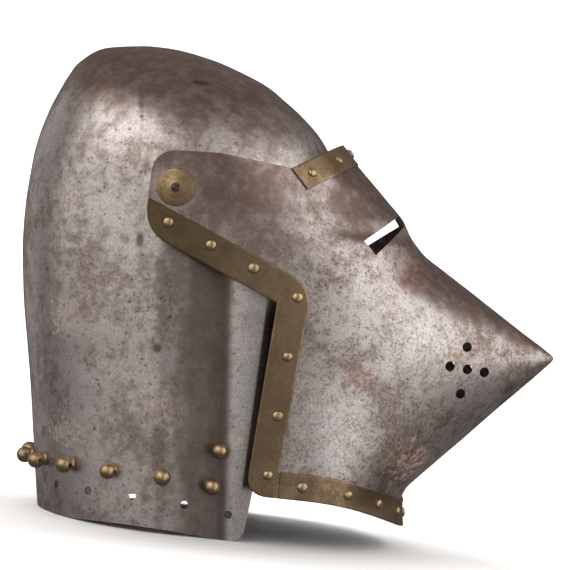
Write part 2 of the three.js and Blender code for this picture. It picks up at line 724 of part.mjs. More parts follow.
function breaths() {
  const slope = breathSlope * degrees;
  const spots = [[0, 0], breathUp, breathDown];
  for (const along of [-breathPitch, breathPitch]) {
    spots.push([along * Math.cos(slope), along * Math.sin(slope)]);
  }
  return spots.map(([x, z]) => {
    const point = new THREE.Vector3(breathCentre[0] + x, 0, breathCentre[1] + z);
    return rod({ point, way: new THREE.Vector3(0, 1, 0) }, breathRadius, -sideways, sideways, breathSides);
  });
}

// Each piece with its holes cut
const cut = (made, tools) => tools.reduce((left, tool) => left.subtract(tool), made);
const rivetHoles = rivets.map((rivet) => rivet.hole);
const pinHoles = pivots.map((pivot) => pivot.hole);
const knobHoles = knobs.map((knob) => knob.hole);
const skull = cut(skullWall, [faceOpening(), rimHollow(), ...rimHoles, ...pinHoles, ...knobHoles]);
const visor = cut(visorWall, [...sights.map(sight), ...breaths(), ...rivetHoles, ...pinHoles]);
const bored = cut(borderWall, rivetHoles);
const strip = (shape, from, to) => bored.intersect(across(shape, from, to));

// Steel and brass, each piece with a material of its own
const part = new THREE.Group();
part.position.x = (skullBack - tipReach) / 2;

function place(name, made, color, roughness, metalness) {
  const material = new THREE.MeshStandardMaterial({ color, roughness, metalness });
  const mesh = new THREE.Mesh(geometryOf(made), material);
  mesh.name = name;
  part.add(mesh);
}

const steelColor = 0x8a817a;
const darkSteelColor = 0x4c443e;
const brassColor = 0x7d6a3f;
const brightBrassColor = 0xa8874a;
place("skull", skull, steelColor, 0.4, 1);
place("visor", visor, steelColor, 0.42, 1);
place("side_border_right", strip(sideStrip(), -sideways, 0), brassColor, 0.45, 1);
place("side_border_left", strip(sideStrip(), 0, sideways), brassColor, 0.45, 1);
place("chin_border", strip(chinStrip(), -sideways, sideways), brassColor, 0.45, 1);
place("brow_border", strip(browStrip(), -sideways, sideways), brassColor, 0.45, 1);
for (const { name, disc, pin } of pivots) {
  place(`pivot_disc_${name}`, disc, brassColor, 0.4, 1);
  place(`pivot_pin_${name}`, pin, darkSteelColor, 0.5, 1);
}
for (const { name, made } of rivets) place(name, made, brightBrassColor, 0.35, 1);
for (const { name, made } of knobs) place(name, made, brightBrassColor, 0.35, 1);

export default part;
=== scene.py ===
# Pig-faced bascinet: forged skull and visor, brass borders, rivets, pivots and rim knobs.
# Shapes are worked out in millimetres with x from the visor's pivots, then placed in metres.
import json
import math
import random

import bmesh
import bpy
import numpy as np
from mathutils import Matrix, Vector, noise


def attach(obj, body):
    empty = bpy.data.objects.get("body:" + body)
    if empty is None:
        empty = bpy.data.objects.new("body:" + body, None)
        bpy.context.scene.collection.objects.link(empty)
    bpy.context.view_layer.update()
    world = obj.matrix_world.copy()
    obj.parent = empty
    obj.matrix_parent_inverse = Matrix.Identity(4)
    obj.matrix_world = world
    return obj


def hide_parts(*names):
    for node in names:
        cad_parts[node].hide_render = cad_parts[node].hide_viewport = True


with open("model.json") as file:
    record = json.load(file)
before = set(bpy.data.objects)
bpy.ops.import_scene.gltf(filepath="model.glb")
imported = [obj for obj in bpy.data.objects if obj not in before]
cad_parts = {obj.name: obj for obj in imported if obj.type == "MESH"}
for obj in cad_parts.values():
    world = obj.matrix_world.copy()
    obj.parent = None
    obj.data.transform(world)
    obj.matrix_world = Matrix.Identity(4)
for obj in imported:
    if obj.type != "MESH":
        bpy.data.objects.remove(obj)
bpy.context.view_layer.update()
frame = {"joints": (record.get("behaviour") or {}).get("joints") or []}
pivotX = frame["joints"][0]["pos_m"][0] * 1000
print("frame loaded, pivots at x", round(pivotX, 1), "mm")

random.seed(14)

# Skull, as in the solids: sections from the rim to the apex
skull = {
    "height": 326,
    "back": 107.3,  # pivots to the rearmost point
    "brow": 115,
    "halfWidth": 100,
    "plate": 1.6,
    "creaseAngle": 65.5,  # where each cheek panel is folded outwards, from straight ahead
    "creaseDepth": 7.6,  # deeper than in the solids, so that the front panels catch the light
    "flareAngle": 51,
    "creaseEnd": 94,
    "creaseTop": 200,
    "faceEdgeFoot": 71.6,
    "faceEdgeLean": 0.09,
    "faceTop": 234,
    "faceTopRadius": 42,
    "cheekCorner": 9,
    "rimArch": 3.5,
    "rimBackFoot": -48,
    "rimFrontFoot": 52,
    "belowRim": 0.08,  # share of a section by which the sheet starts below the rim
    "around": 198,  # 36 columns reach the fold
    "upwards": 150,
}
skullSections = [
    {"up": 0.0, "back": -0.691, "middle": 0.158, "brow": 0.98, "wide": 0.97, "square": 3.2},
    {"up": 0.288, "back": -0.849, "middle": 0.075, "brow": 0.98, "wide": 0.985, "square": 3.2},
    {"up": 0.423, "back": -0.931, "middle": 0.028, "brow": 0.98, "wide": 0.993, "square": 3.1},
    {"up": 0.543, "back": -0.987, "middle": -0.01, "brow": 0.99, "wide": 1.0, "square": 2.9},
    {"up": 0.629, "back": -0.999, "middle": -0.028, "brow": 1.0, "wide": 1.0, "square": 2.6},
    {"up": 0.706, "back": -0.99, "middle": -0.047, "brow": 0.995, "wide": 0.999, "square": 2.35},
    {"up": 0.767, "back": -0.971, "middle": -0.065, "brow": 0.943, "wide": 0.98, "square": 2.2},
    {"up": 0.838, "back": -0.918, "middle": -0.103, "brow": 0.821, "wide": 0.904, "square": 2.1},
    {"up": 0.887, "back": -0.862, "middle": -0.14, "brow": 0.681, "wide": 0.8, "square": 2.0},
    {"up": 0.921, "back": -0.815, "middle": -0.172, "brow": 0.548, "wide": 0.687, "square": 2.0},
    {"up": 0.948, "back": -0.761, "middle": -0.205, "brow": 0.416, "wide": 0.57, "square": 2.0},
    {"up": 0.982, "back": -0.624, "middle": -0.252, "brow": 0.143, "wide": 0.35, "square": 2.0},
    {"up": 0.998, "back": -0.385, "middle": -0.265, "brow": -0.1, "wide": 0.12, "square": 2.0},
    {"up": 1.0, "back": -0.267, "middle": -0.267, "brow": -0.249, "wide": 0.0, "square": 2.0},
]

# Visor, as in the solids: sections of the face plate behind the snout
visor = {
    "pivotHeight": 230,
    "plate": 1.5,
    "halfWidth": 102.9,
    "straight": 15,
    "tipReach": 272.3,
    "tipHeight": 143.8,
    "tipRound": 1.4,
    "snoutRise": 8.3,
    "snoutHalfAngle": 39.3,
    "snoutBlend": 7,
    "plateTurn": 58,
    "armBack": 17.2,
    "armTopRound": 19.5,
    "armHeelRound": 18,
    "armCrest": (26.3, 256),
    "armShoulder": 1.5,  # drop from the crest to the rounded corner
    "browEnd": (74.6, 252.2),
    "browSlope": 33.5,
    "elbow": (75.7, 162.3),
    "diagonalSlope": 21.4,
    "rearLean": 2.5,
    "chinCorner": 15,
    "chinHeight": 33.3,
    "chinDrop": 17.6,
    "chinDropStart": 105,
    "chinReach": 181.3,
    "chinDropPower": 2.4,
    "sightRight": [(128.6, 209.8), (151.9, 229.5), (157.2, 223.4), (137.4, 201.2)],
    "sightLeft": [(128.6, 209.8), (151.0, 227.2), (154.6, 222.2), (134.1, 204.4)],
    "bridge": 9,
    "breathRadius": 3.4,
    "breaths": [(209.5, 131.5), (197.0, 132.6), (222.0, 130.4), (207.5, 146.6), (206.9, 114.4)],
    "sheetFall": 124,  # degrees from the snout's tip to the sheet's far edge
    "sheetSpacing": 1.12,  # above 1, rows are closer near the tip
    "sheetFoot": -10,
    "sheetTop": 290,
    "around": 240,
    "outwards": 150,
}
faceSections = [
    {"up": 0.03, "reach": 0.669, "round": 0.411, "taper": 0.092, "ridge": 0.1},
    {"up": 0.17, "reach": 0.652, "round": 0.411, "taper": 0.092, "ridge": 0.14},
    {"up": 0.43, "reach": 0.647, "round": 0.411, "taper": 0.068, "ridge": 0.36},
    {"up": 0.65, "reach": 0.639, "round": 0.411, "taper": 0.058, "ridge": 0.3},
    {"up": 0.82, "reach": 0.63, "round": 0.418, "taper": 0.1, "ridge": 0.13},
    {"up": 0.896, "reach": 0.618, "round": 0.397, "taper": 0.156, "ridge": 0.1},
    {"up": 0.935, "reach": 0.598, "round": 0.36, "taper": 0.204, "ridge": 0.09},
    {"up": 0.974, "reach": 0.579, "round": 0.342, "taper": 0.253, "ridge": 0.09},
    {"up": 0.996, "reach": 0.564, "round": 0.338, "taper": 0.292, "ridge": 0.09},
    {"up": 1.048, "reach": 0.518, "round": 0.338, "taper": 0.35, "ridge": 0.09},
    {"up": 1.139, "reach": 0.437, "round": 0.33, "taper": 0.37, "ridge": 0.09},
    {"up": 1.2, "reach": 0.384, "round": 0.33, "taper": 0.37, "ridge": 0.09},
]
headCentre = np.array([60.0, 0.0, 128.0])  # a point that both plates face away from

bothSides = (("right", -1), ("left", 1))  # y is positive on the wearer's left

# How far the cutting shapes reach past the helmet, and the rays that find the visor's face
cutReach = {"side": 140, "front": 350, "back": -300, "foot": -20}
rayReach = {"side": 130, "around": 260, "front": 300}


# A smooth curve through b and c, at the share f between them, with a and d beside them.
def curve(a, b, c, d, f):
    bend = 2 * a - 5 * b + 4 * c - d + f * (3 * (b - c) + d - a)
    return b + 0.5 * f * (c - a + f * bend)


# One column of the four rows around a row.
def neighbours(rows, column, row):
    values = np.array([r[column] for r in rows])
    return [values[np.clip(row + k, 0, len(rows) - 1)] for k in (-1, 0, 1, 2)]


# All columns at a place between rows.
def between(rows, place):
    row = np.clip(np.floor(place).astype(int), 0, len(rows) - 2)
    return {column: curve(*neighbours(rows, column, row), place - row) for column in rows[0]}


# The place between rows where their height is up.
def placeAt(rows, up):
    ups = np.array([r["up"] for r in rows])
    up = np.clip(up, ups[0], ups[-1])
    row = np.clip(np.searchsorted(ups, up, side="right") - 1, 0, len(rows) - 2)
    around = neighbours(rows, "up", row)
    low = np.zeros_like(up)
    high = np.ones_like(up)
    for step in range(16):
        half = (low + high) / 2
        below = curve(*around, half) < up
        low = np.where(below, half, low)
        high = np.where(below, high, half)
    return row + low


def smoothStep(value, start, end):
    share = np.clip((value - start) / (end - start), 0, 1)
    return share * share * (3 - 2 * share)


# The skull's face at a place between its sections, turned from straight ahead.
def skullPoint(place, turn):
    s = between(skullSections, place)
    height = s["up"] * skull["height"]
    middle = s["middle"] * skull["back"]
    wide = np.maximum(s["wide"] * skull["halfWidth"], 0.001)
    ahead = np.cos(turn) > 0
    front = s["brow"] * skull["brow"] - middle
    long = np.maximum(np.where(ahead, front, middle - s["back"] * skull["back"]), 0.001)
    power = np.where(ahead, s["square"], 2)
    total = np.abs(np.cos(turn) / long) ** power + np.abs(np.sin(turn) / wide) ** power
    off = np.degrees(np.abs(np.arctan2(np.sin(turn), np.cos(turn))))
    depth = skull["creaseDepth"] * (1 - smoothStep(height, skull["creaseTop"], visor["pivotHeight"]))
    flare = np.clip((off - skull["flareAngle"]) / (skull["creaseAngle"] - skull["flareAngle"]), 0, 1)
    crease = depth * flare * (1 - smoothStep(off, skull["creaseAngle"], skull["creaseEnd"]))
    radius = total ** (-1 / power) - crease
    return np.stack([middle + radius * np.cos(turn), radius * np.sin(turn), height], axis=-1)


def skullOutward(place, turn):
    step = 0.01
    last = len(skullSections) - 1
    place = np.minimum(place, last - step)
    up = skullPoint(place + step, turn) - skullPoint(place - step, turn)
    around = skullPoint(place, turn + step) - skullPoint(place, turn - step)
    normal = np.cross(around, up)
    normal[place > last - 2 * step] = (0, 0, 1)
    return normal / np.linalg.norm(normal, axis=-1, keepdims=True)


# The lower of two values, rounded over where they cross.
def smoothLower(a, b, width):
    h = np.maximum(width - np.abs(a - b), 0) / width
    return np.minimum(a, b) - h * h * width / 4


# How far a point is outside the visor's face: plate, cheeks and snout joined.
def visorField(p):
    x, y, z = p[..., 0], p[..., 1], p[..., 2]
    s = between(faceSections, placeAt(faceSections, z / visor["pivotHeight"]))
    around = s["round"] * visor["tipReach"]
    ahead = x - s["reach"] * visor["tipReach"] + around
    off = np.abs(y)
    turn = np.minimum(np.arctan2(off, ahead), math.radians(visor["plateTurn"]))
    plate = ahead * np.cos(turn) + off * np.sin(turn) - around
    past = np.maximum(x - visor["straight"], 0) / 100
    cheek = off - visor["halfWidth"] * (1 - s["taper"] * past * past)
    rise = math.radians(visor["snoutRise"])
    half = math.radians(visor["snoutHalfAngle"])
    behind = (visor["tipReach"] - x) * math.cos(rise) + (visor["tipHeight"] - z) * math.sin(rise)
    over = (visor["tipReach"] - x) * math.sin(rise) - (visor["tipHeight"] - z) * math.cos(rise)
    fromAxis = np.sqrt(off**2 + over**2 + visor["tipRound"] ** 2)
    snout = fromAxis * math.cos(half) - (behind + visor["tipRound"] / math.tan(half)) * math.sin(half)
    joined = smoothLower(plate, snout, visor["snoutBlend"])
    return -smoothLower(-joined, -cheek, s["ridge"] * visor["halfWidth"])


# How far along each way the visor's face is crossed, out being the distance from it.
def leaving(start, way, out, far):
    low = np.full(way.shape[:-1], 1.0)
    high = np.broadcast_to(far, low.shape).copy()
    for step in range(34):
        half = (low + high) / 2
        within = visorField(start + way * half[..., None]) < out
        low = np.where(within, half, low)
        high = np.where(within, high, half)
    return start + way * low[..., None]


# The way straight out of the visor's face.
def visorOutward(p):
    step = 0.4
    slope = [visorField(p + step * axis) - visorField(p - step * axis) for axis in np.eye(3)]
    slope = np.stack(slope, axis=-1)
    return slope / (np.linalg.norm(slope, axis=-1, keepdims=True) + 1e-9)


# Points of the visor's face by their fall from the snout's axis and their turn around it.
def visorRays(fall, turn, out):
    axis = np.array([visor["tipReach"], 0, visor["tipHeight"]]) - headCentre
    axis = axis / np.linalg.norm(axis)
    side = np.array([0.0, 1.0, 0.0])
    up = np.cross(axis, side)
    way = np.cos(fall)[..., None] * axis + (np.sin(fall) * np.cos(turn))[..., None] * up
    way = way + (np.sin(fall) * np.sin(turn))[..., None] * side
    limit = np.where(way[..., 2] > 0, visor["sheetTop"] + out, visor["sheetFoot"] - out)
    slant = np.where(np.abs(way[..., 2]) < 1e-6, 1e-6, way[..., 2])
    far = np.minimum(2 * visor["tipReach"], (limit - headCentre[2]) / slant)
    return leaving(headCentre, way, out, np.maximum(far, 2))


# Hammer marks: slow waves in the plate, in millimetres
hammer = {"broad": 0.42, "broadSize": 52, "small": 0.13, "smallSize": 17, "smallShift": (7, 3, 1)}


def hammered(p):
    lift = []
    for point in p.reshape(-1, 3):
        v = Vector(point)
        broad = hammer["broad"] * noise.noise(v / hammer["broadSize"])
        small = noise.noise(v / hammer["smallSize"] + Vector(hammer["smallShift"]))
        lift.append(broad + hammer["small"] * small)
    return np.array(lift).reshape(p.shape[:-1] + (1,))


def toMetres(p):
    return (np.asarray(p, float) + np.array([pivotX, 0, 0])) * 0.001


# A sheet of quads laid on surface(u, v), its faces turned away from the head.
def sheetMesh(around, outwards, surface):
    bm = bmesh.new()
    made = bmesh.ops.create_grid(bm, x_segments=around, y_segments=outwards, size=0.5)
    u = np.array([v.co.x + 0.5 for v in made["verts"]])
    v = np.array([v.co.y + 0.5 for v in made["verts"]])
    for vert, point in zip(made["verts"], toMetres(surface(u, v))):
        vert.co = point
    bmesh.ops.remove_doubles(bm, verts=bm.verts, dist=2e-5)
    bmesh.ops.recalc_face_normals(bm, faces=bm.faces)
    middle = Vector(toMetres(headCentre))
    outward = sum(f.normal.dot(f.calc_center_median() - middle) for f in bm.faces)
    if outward < 0:
        bmesh.ops.reverse_faces(bm, faces=bm.faces)
    bm.normal_update()
    return bm


# Gives a sheet a wall inwards and marks the wall's inner faces with the second material.
def thicken(bm, plate):
    bmesh.ops.solidify(bm, geom=bm.faces[:], thickness=plate * 0.001)
    bm.normal_update()
    middle = Vector(toMetres(headCentre))
    inwards = -0.2  # faces turned further in than this are the wall's inner ones
    for face in bm.faces:
        away = face.calc_center_median() - middle
        face.material_index = 1 if face.normal.dot(away.normalized()) < inwards else 0


# An object of the mesh, smooth where its faces meet at less than the sharp angle.
def finished(name, bm, sharp=38):
    for face in bm.faces:
        face.smooth = True
    for edge in bm.edges:
        edge.smooth = edge.is_manifold and edge.calc_face_angle(0) < math.radians(sharp)
    mesh = bpy.data.meshes.new(name)
    bm.to_mesh(mesh)
    bm.free()
    obj = bpy.data.objects.new(name, mesh)
    bpy.context.scene.collection.objects.link(obj)
    return obj


# A quadratic curve, without its first point.
def bend(start, control, end, steps=20):
    share = np.arange(1, steps + 1)[:, None] / steps
    a, b, c = (np.array(p, float) for p in (start, control, end))
    return [tuple(p) for p in (1 - share) ** 2 * a + 2 * share * (1 - share) * b + share**2 * c]


# A side-view outline carried across the helmet from y near to y far.
def prism(bm, outline, near, far):
    ends = [[bm.verts.new(toMetres((x, y, z))) for x, z in outline] for y in (near, far)]
    count = len(outline)
    bm.faces.new(ends[0])
    bm.faces.new(reversed(ends[1]))
    for k in range(count):
        after = (k + 1) % count
        bm.faces.new((ends[0][after], ends[0][k], ends[1][k], ends[1][after]))


# A rod along a way from near to far of its point.
def rod(bm, point, way, radius, near, far, sides=40):
    made = bmesh.ops.create_cone(
        bm, cap_ends=True, segments=sides, radius1=radius, radius2=radius, depth=far - near
    )
    turn = Vector(way).to_track_quat("Z", "Y").to_matrix().to_4x4()
    shift = Matrix.Translation(Vector(point) + Vector(way) * (near + far) / 2)
    bmesh.ops.transform(bm, matrix=metres @ shift @ turn, verts=made["verts"])


metres = Matrix.Translation((pivotX * 0.001, 0, 0)) @ Matrix.Scale(0.001, 4)


# Cuts the object by the tool's mesh and shades it again.
def carve(obj, tool, operation, sharp=38):
    bmesh.ops.recalc_face_normals(tool, faces=tool.faces)
    mesh = bpy.data.meshes.new("cutter")
    tool.to_mesh(mesh)
    tool.free()
    cutter = bpy.data.objects.new("cutter", mesh)
    bpy.context.scene.collection.objects.link(cutter)
    modifier = obj.modifiers.new("carve", "BOOLEAN")
    modifier.operation = operation
    modifier.solver = "EXACT"
    modifier.object = cutter
    graph = bpy.context.evaluated_depsgraph_get()
    bm = bmesh.new()
    bm.from_object(obj, graph)
    bpy.data.objects.remove(cutter)
    name = obj.name
    bpy.data.objects.remove(obj)
    return finished(name, bm, sharp)


def skullSurface(u, v):
    turn = 2 * math.pi * u
    top = len(skullSections) - 1
    fine = np.linspace(-skull["belowRim"], top, 600)
    s = between(skullSections, fine)
    wide = (s["brow"] * skull["brow"] - s["back"] * skull["back"]) / 2
    along = np.hypot(np.diff(s["up"] * skull["height"]), np.diff(wide))
    length = np.concatenate([[0], np.cumsum(along)])
    place = np.interp(v * length[-1], length, fine)
    points = skullPoint(place, turn)
    wave = hammered(points) * (1 - smoothStep(place, top - 1, top))[..., None]
    return points + skullOutward(place, turn) * wave


def visorSurface(u, v):
    fall = math.radians(visor["sheetFall"]) * v ** visor["sheetSpacing"]
    base = visorRays(fall, -2 * math.pi * u, 0)
    return base + visorOutward(base) * hammered(base)


def tangent(angle):
    return math.tan(math.radians(angle))


def diagonalAt(x):
    return visor["elbow"][1] + (visor["elbow"][0] - x) * tangent(visor["diagonalSlope"])


def rearEdgeAt(height):
    return visor["elbow"][0] - (visor["elbow"][1] - height) * tangent(visor["rearLean"])


def browAt(x):
    return visor["browEnd"][1] + (x - visor["browEnd"][0]) * tangent(visor["browSlope"])


def chinDropAt(x):
    span = visor["chinReach"] - visor["chinDropStart"]
    return visor["chinDrop"] * (np.maximum(x - visor["chinDropStart"], 0) / span) ** visor["chinDropPower"]


def chinCornerPath():
    corner = visor["chinCorner"]
    foot = visor["chinHeight"]
    rear = rearEdgeAt(foot)
    start = (rearEdgeAt(foot + corner), foot + corner)
    return [start] + bend(start, (rear, foot), (rear + corner, foot))


def heelPath():
    back = -visor["armBack"]
    x = visor["armHeelRound"] * math.cos(math.radians(visor["diagonalSlope"])) + back
    start = (back, diagonalAt(back) + visor["armHeelRound"])
    return [start] + bend(start, (back, diagonalAt(back)), (x, diagonalAt(x)))


def visorOutline():
    back = -visor["armBack"]
    crestHeight = visor["armCrest"][1]
    outline = heelPath() + [visor["elbow"]] + chinCornerPath()
    for x in np.linspace(border["chinX"], visor["chinReach"], 30):
        outline.append((x, visor["chinHeight"] - chinDropAt(x)))
    front = cutReach["front"]
    outline += [(front, visor["chinHeight"] - visor["chinDrop"]), (front, browAt(visor["tipReach"]))]
    outline += [(visor["tipReach"], browAt(visor["tipReach"])), visor["browEnd"], visor["armCrest"]]
    top = crestHeight - visor["armShoulder"]
    start = (visor["armTopRound"] + back, top)
    outline.append(start)
    return outline + bend(start, (back, top), (back, crestHeight - visor["armTopRound"]))


# Brass borders on the visor's edges, held by rivets
border = {
    "width": 21,
    "brass": 1.1,
    "gap": 0.3,
    "bend": 16,  # inner bend at the elbow
    "bendSteps": 20,
    "chinX": 91.6,
    "chinWidth": 17.7,
    "browWidth": 17.5,
    "browTurn": 35,
    "browSlant": 2,
    "heelDrop": 2,  # worn corners of the side strips' ends
    "heelSlant": 0.6,
    "chinSlant": 0.6,
    "chinStep": 1.5,
    "edge": 0.3,
    "edgeSegments": 2,
    "sharp": 50,
    "sideAround": 260,
    "chinAround": 200,
    "browAround": 120,
    "across": 12,
}


# Places along a line of points, with the points that marks names at even shares of its length.
def alongPath(points, marks, share):
    points = np.array(points, float)
    steps = np.hypot(*np.diff(points, axis=0).T)
    length = np.concatenate([[0], np.cumsum(steps)])
    spots = np.interp(share, marks[1], [length[k] for k in marks[0]])
    return np.stack([np.interp(spots, length, points[:, k]) for k in (0, 1)], axis=-1)


# The strip along the arm's lower edge and the visor's rear edge. Its outer and its inner line are
# crossed at even shares between their marks.
def sideStrip(side):
    slope = math.radians(visor["diagonalSlope"])
    end = border["chinX"] - border["gap"] / 2
    elbowHeight = visor["elbow"][1]

    def innerDiagonal(x):
        return diagonalAt(x) + border["width"] / math.cos(slope)

    def innerRear(height):
        return rearEdgeAt(height) + border["width"]

    back = -visor["armBack"]
    shares = [0, 0.14, 0.5, 0.9, 1]  # end, heel, elbow, chin corner, end
    outer = [(back, innerDiagonal(back) - border["heelDrop"])] + heelPath()
    heelEnd = len(outer) - 1
    outer.append(visor["elbow"])
    elbowMark = len(outer) - 1
    outer += chinCornerPath()
    outer.append((end, visor["chinHeight"]))
    outerMarks = ([0, heelEnd, elbowMark, elbowMark + 1, len(outer) - 1], shares)
    cornerX = innerRear(elbowHeight + border["bend"] / 2)
    bendEnd = (cornerX - border["bend"], innerDiagonal(cornerX - border["bend"]))
    start = back + border["heelSlant"]
    inner = [(start, innerDiagonal(start))]
    heelX = visor["armHeelRound"] * math.cos(slope) + back + border["width"] * math.sin(slope)
    inner.append((heelX, innerDiagonal(heelX)))
    foot = (innerRear(elbowHeight), innerDiagonal(cornerX) - border["bend"])
    inner.append(bendEnd)
    bendMiddle = len(inner) - 1 + border["bendSteps"] // 2
    inner += bend(bendEnd, (cornerX, innerDiagonal(cornerX)), foot, border["bendSteps"])
    low = visor["chinHeight"] + border["chinWidth"]
    inner += [(end - border["chinSlant"], low + border["chinStep"]), (end, low)]
    last = len(inner) - 1
    innerMarks = ([0, 1, bendMiddle, last - 1, last], shares)

    def surface(u, v):
        near = alongPath(outer, outerMarks, u)
        far = alongPath(inner, innerMarks, u)
        place = near + (far - near) * v[:, None]
        start = np.stack([place[:, 0], np.zeros(len(u)), place[:, 1]], axis=-1)
        way = np.broadcast_to(np.array([0.0, side, 0.0]), start.shape)
        base = leaving(start, way, border["gap"] + border["brass"], rayReach["side"])
        return base + visorOutward(base) * hammered(base)

    return surface


# A strip around the front, by plan angle about originX(v), at the height heightAt(x, v).
def aroundStrip(originX, heightAt):

    def surface(u, v):
        turn = math.pi * (u - 0.5)
        way = np.stack([np.cos(turn), np.sin(turn), np.zeros(len(u))], axis=-1)
        height = heightAt(originX(v), v)
        for step in range(14):
            start = np.stack([originX(v), np.zeros(len(u)), height], axis=-1)
            base = leaving(start, way, border["gap"] + border["brass"], rayReach["around"])
            height = (height + heightAt(base[:, 0], v)) / 2
        return base + visorOutward(base) * hammered(base)

    return surface


chinEnd = border["chinX"] + border["gap"] / 2
chinSurface = aroundStrip(
    lambda v: np.full(len(v), chinEnd),
    lambda x, v: visor["chinHeight"] - chinDropAt(x) + border["chinWidth"] * v,
)
browEndShift = border["browWidth"] * math.cos(math.radians(border["browTurn"])) - border["browSlant"]
browDepth = border["browWidth"] / math.cos(math.radians(visor["browSlope"]))
browSurface = aroundStrip(
    lambda v: visor["browEnd"][0] + browEndShift * v,
    lambda x, v: browAt(x) - browDepth * v,
)


def borderPiece(name, around, surface):
    bm = sheetMesh(around, border["across"], surface)
    thicken(bm, border["brass"])
    sharp = math.radians(border["sharp"])
    rim = [e for e in bm.edges if e.is_manifold and e.calc_face_angle(0) > sharp]
    bmesh.ops.bevel(
        bm, geom=rim, offset=border["edge"] * 0.001, offset_type="OFFSET",
        segments=border["edgeSegments"], profile=0.5, affect="EDGES", material=-1,
    )
    return finished(name, bm, border["sharp"])


# Skull plate
bm = sheetMesh(skull["around"], skull["upwards"], skullSurface)
thicken(bm, skull["plate"])
skullPlate = finished("skull_plate", bm)
tool = bmesh.new()


def edgeAt(height):
    return skull["faceEdgeFoot"] + skull["faceEdgeLean"] * height


corner = skull["cheekCorner"]
cornerTop = skull["faceTop"] - skull["faceTopRadius"]
cheekFoot = skull["rimFrontFoot"] + corner
opening = [(cutReach["back"], cutReach["foot"]), (cutReach["back"], 0), (skull["rimBackFoot"], 0)]
rimMiddle = ((skull["rimBackFoot"] + skull["rimFrontFoot"]) / 2, 2 * skull["rimArch"])
opening += bend((skull["rimBackFoot"], 0), rimMiddle, (skull["rimFrontFoot"], 0), 30)
opening += [(cheekFoot, 0)]
opening += bend((cheekFoot, 0), (edgeAt(0), 0), (edgeAt(corner), corner), 16)
edgeTop = (edgeAt(cornerTop), cornerTop)
opening += [edgeTop]
faceTopEnd = (edgeAt(skull["faceTop"]) + skull["faceTopRadius"], skull["faceTop"])
opening += bend(edgeTop, (edgeAt(skull["faceTop"]), skull["faceTop"]), faceTopEnd, 30)
opening += [(cutReach["front"], skull["faceTop"]), (cutReach["front"], cutReach["foot"])]
prism(tool, opening, -cutReach["side"], cutReach["side"])


# The place and the outward way on the skull at an angle from the middle of the back.
def skullSeat(angle, height, side):
    place = placeAt(skullSections, np.array([height / skull["height"]]))
    turn = np.array([math.radians(180 - angle) * side])
    point = skullPoint(place, turn)
    way = skullOutward(place, turn)
    point = point + way * hammered(point)
    return point[0], way[0]


# Small holes above the rim: degrees from the middle of the back, and heights
rimHoles = {
    "radius": 2.7,
    "inner": -10,
    "outer": 6,
    "places": [(39.5, 21), (59, 21.5), (78.5, 23), (99.5, 21), (117, 17.5)],
}
for side in (-1, 1):
    for angle, height in rimHoles["places"]:
        point, way = skullSeat(angle, height, side)
        rod(tool, point, way, rimHoles["radius"], rimHoles["inner"], rimHoles["outer"])
skullPlate = carve(skullPlate, tool, "DIFFERENCE")
print("skull plate", len(skullPlate.data.polygons))

# Visor plate
bm = sheetMesh(visor["around"], visor["outwards"], visorSurface)
thicken(bm, visor["plate"])
visorPlate = finished("visor_plate", bm)
tool = bmesh.new()
prism(tool, visorOutline(), -cutReach["side"], cutReach["side"])
visorPlate = carve(visorPlate, tool, "INTERSECT")
tool = bmesh.new()
prism(tool, visor["sightRight"], -cutReach["side"], -visor["bridge"] / 2)
prism(tool, visor["sightLeft"], visor["bridge"] / 2, cutReach["side"])
for x, z in visor["breaths"]:
    rod(tool, (x, 0, z), (0, 1, 0), visor["breathRadius"], -cutReach["side"], cutReach["side"])
visorPlate = carve(visorPlate, tool, "DIFFERENCE")
print("visor plate", len(visorPlate.data.polygons))

# Borders
sideBorders = [
    borderPiece(f"side_strip_{name}", border["sideAround"], sideStrip(side))
    for name, side in bothSides
]
chinBorder = borderPiece("chin_strip", border["chinAround"], chinSurface)
browBorder = borderPiece("brow_strip", border["browAround"], browSurface)
print("borders made")


# A turned solid from [radius, height] pairs that start and end on the axis, in millimetres.
def spun(profile, sides=28):
    bm = bmesh.new()
    verts = [bm.verts.new((radius, 0, height)) for radius, height in profile]
    edges = [bm.edges.new(pair) for pair in zip(verts, verts[1:])]
    bmesh.ops.spin(
        bm, geom=verts + edges, cent=(0, 0, 0), axis=(0, 0, 1), angle=2 * math.pi, steps=sides,
        use_merge=True,
    )
    bmesh.ops.remove_doubles(bm, verts=bm.verts, dist=1e-4)
    bmesh.ops.recalc_face_normals(bm, faces=bm.faces)
    return bm


# The solid moved from its own axis to a place and way on the helmet.
def seated(name, bm, point, way, sharp=38):
    turn = Vector(way).to_track_quat("Z", "Y").to_matrix().to_4x4()
    bmesh.ops.transform(bm, matrix=metres @ Matrix.Translation(Vector(point)) @ turn, verts=bm.verts)
    return finished(name, bm, sharp)


# The place and outward way at a spot of the side view, or on the middle line for side 0.
def visorSeat(x, height, side, out):
    start = np.array([[0.0 if side == 0 else x, 0.0, height]])
    way = np.array([[1.0, 0.0, 0.0] if side == 0 else [0.0, side, 0.0]])
    base = leaving(start, way, out, rayReach["front" if side == 0 else "side"])
    normal = visorOutward(base)
    return (base + normal * hammered(base))[0], normal[0]


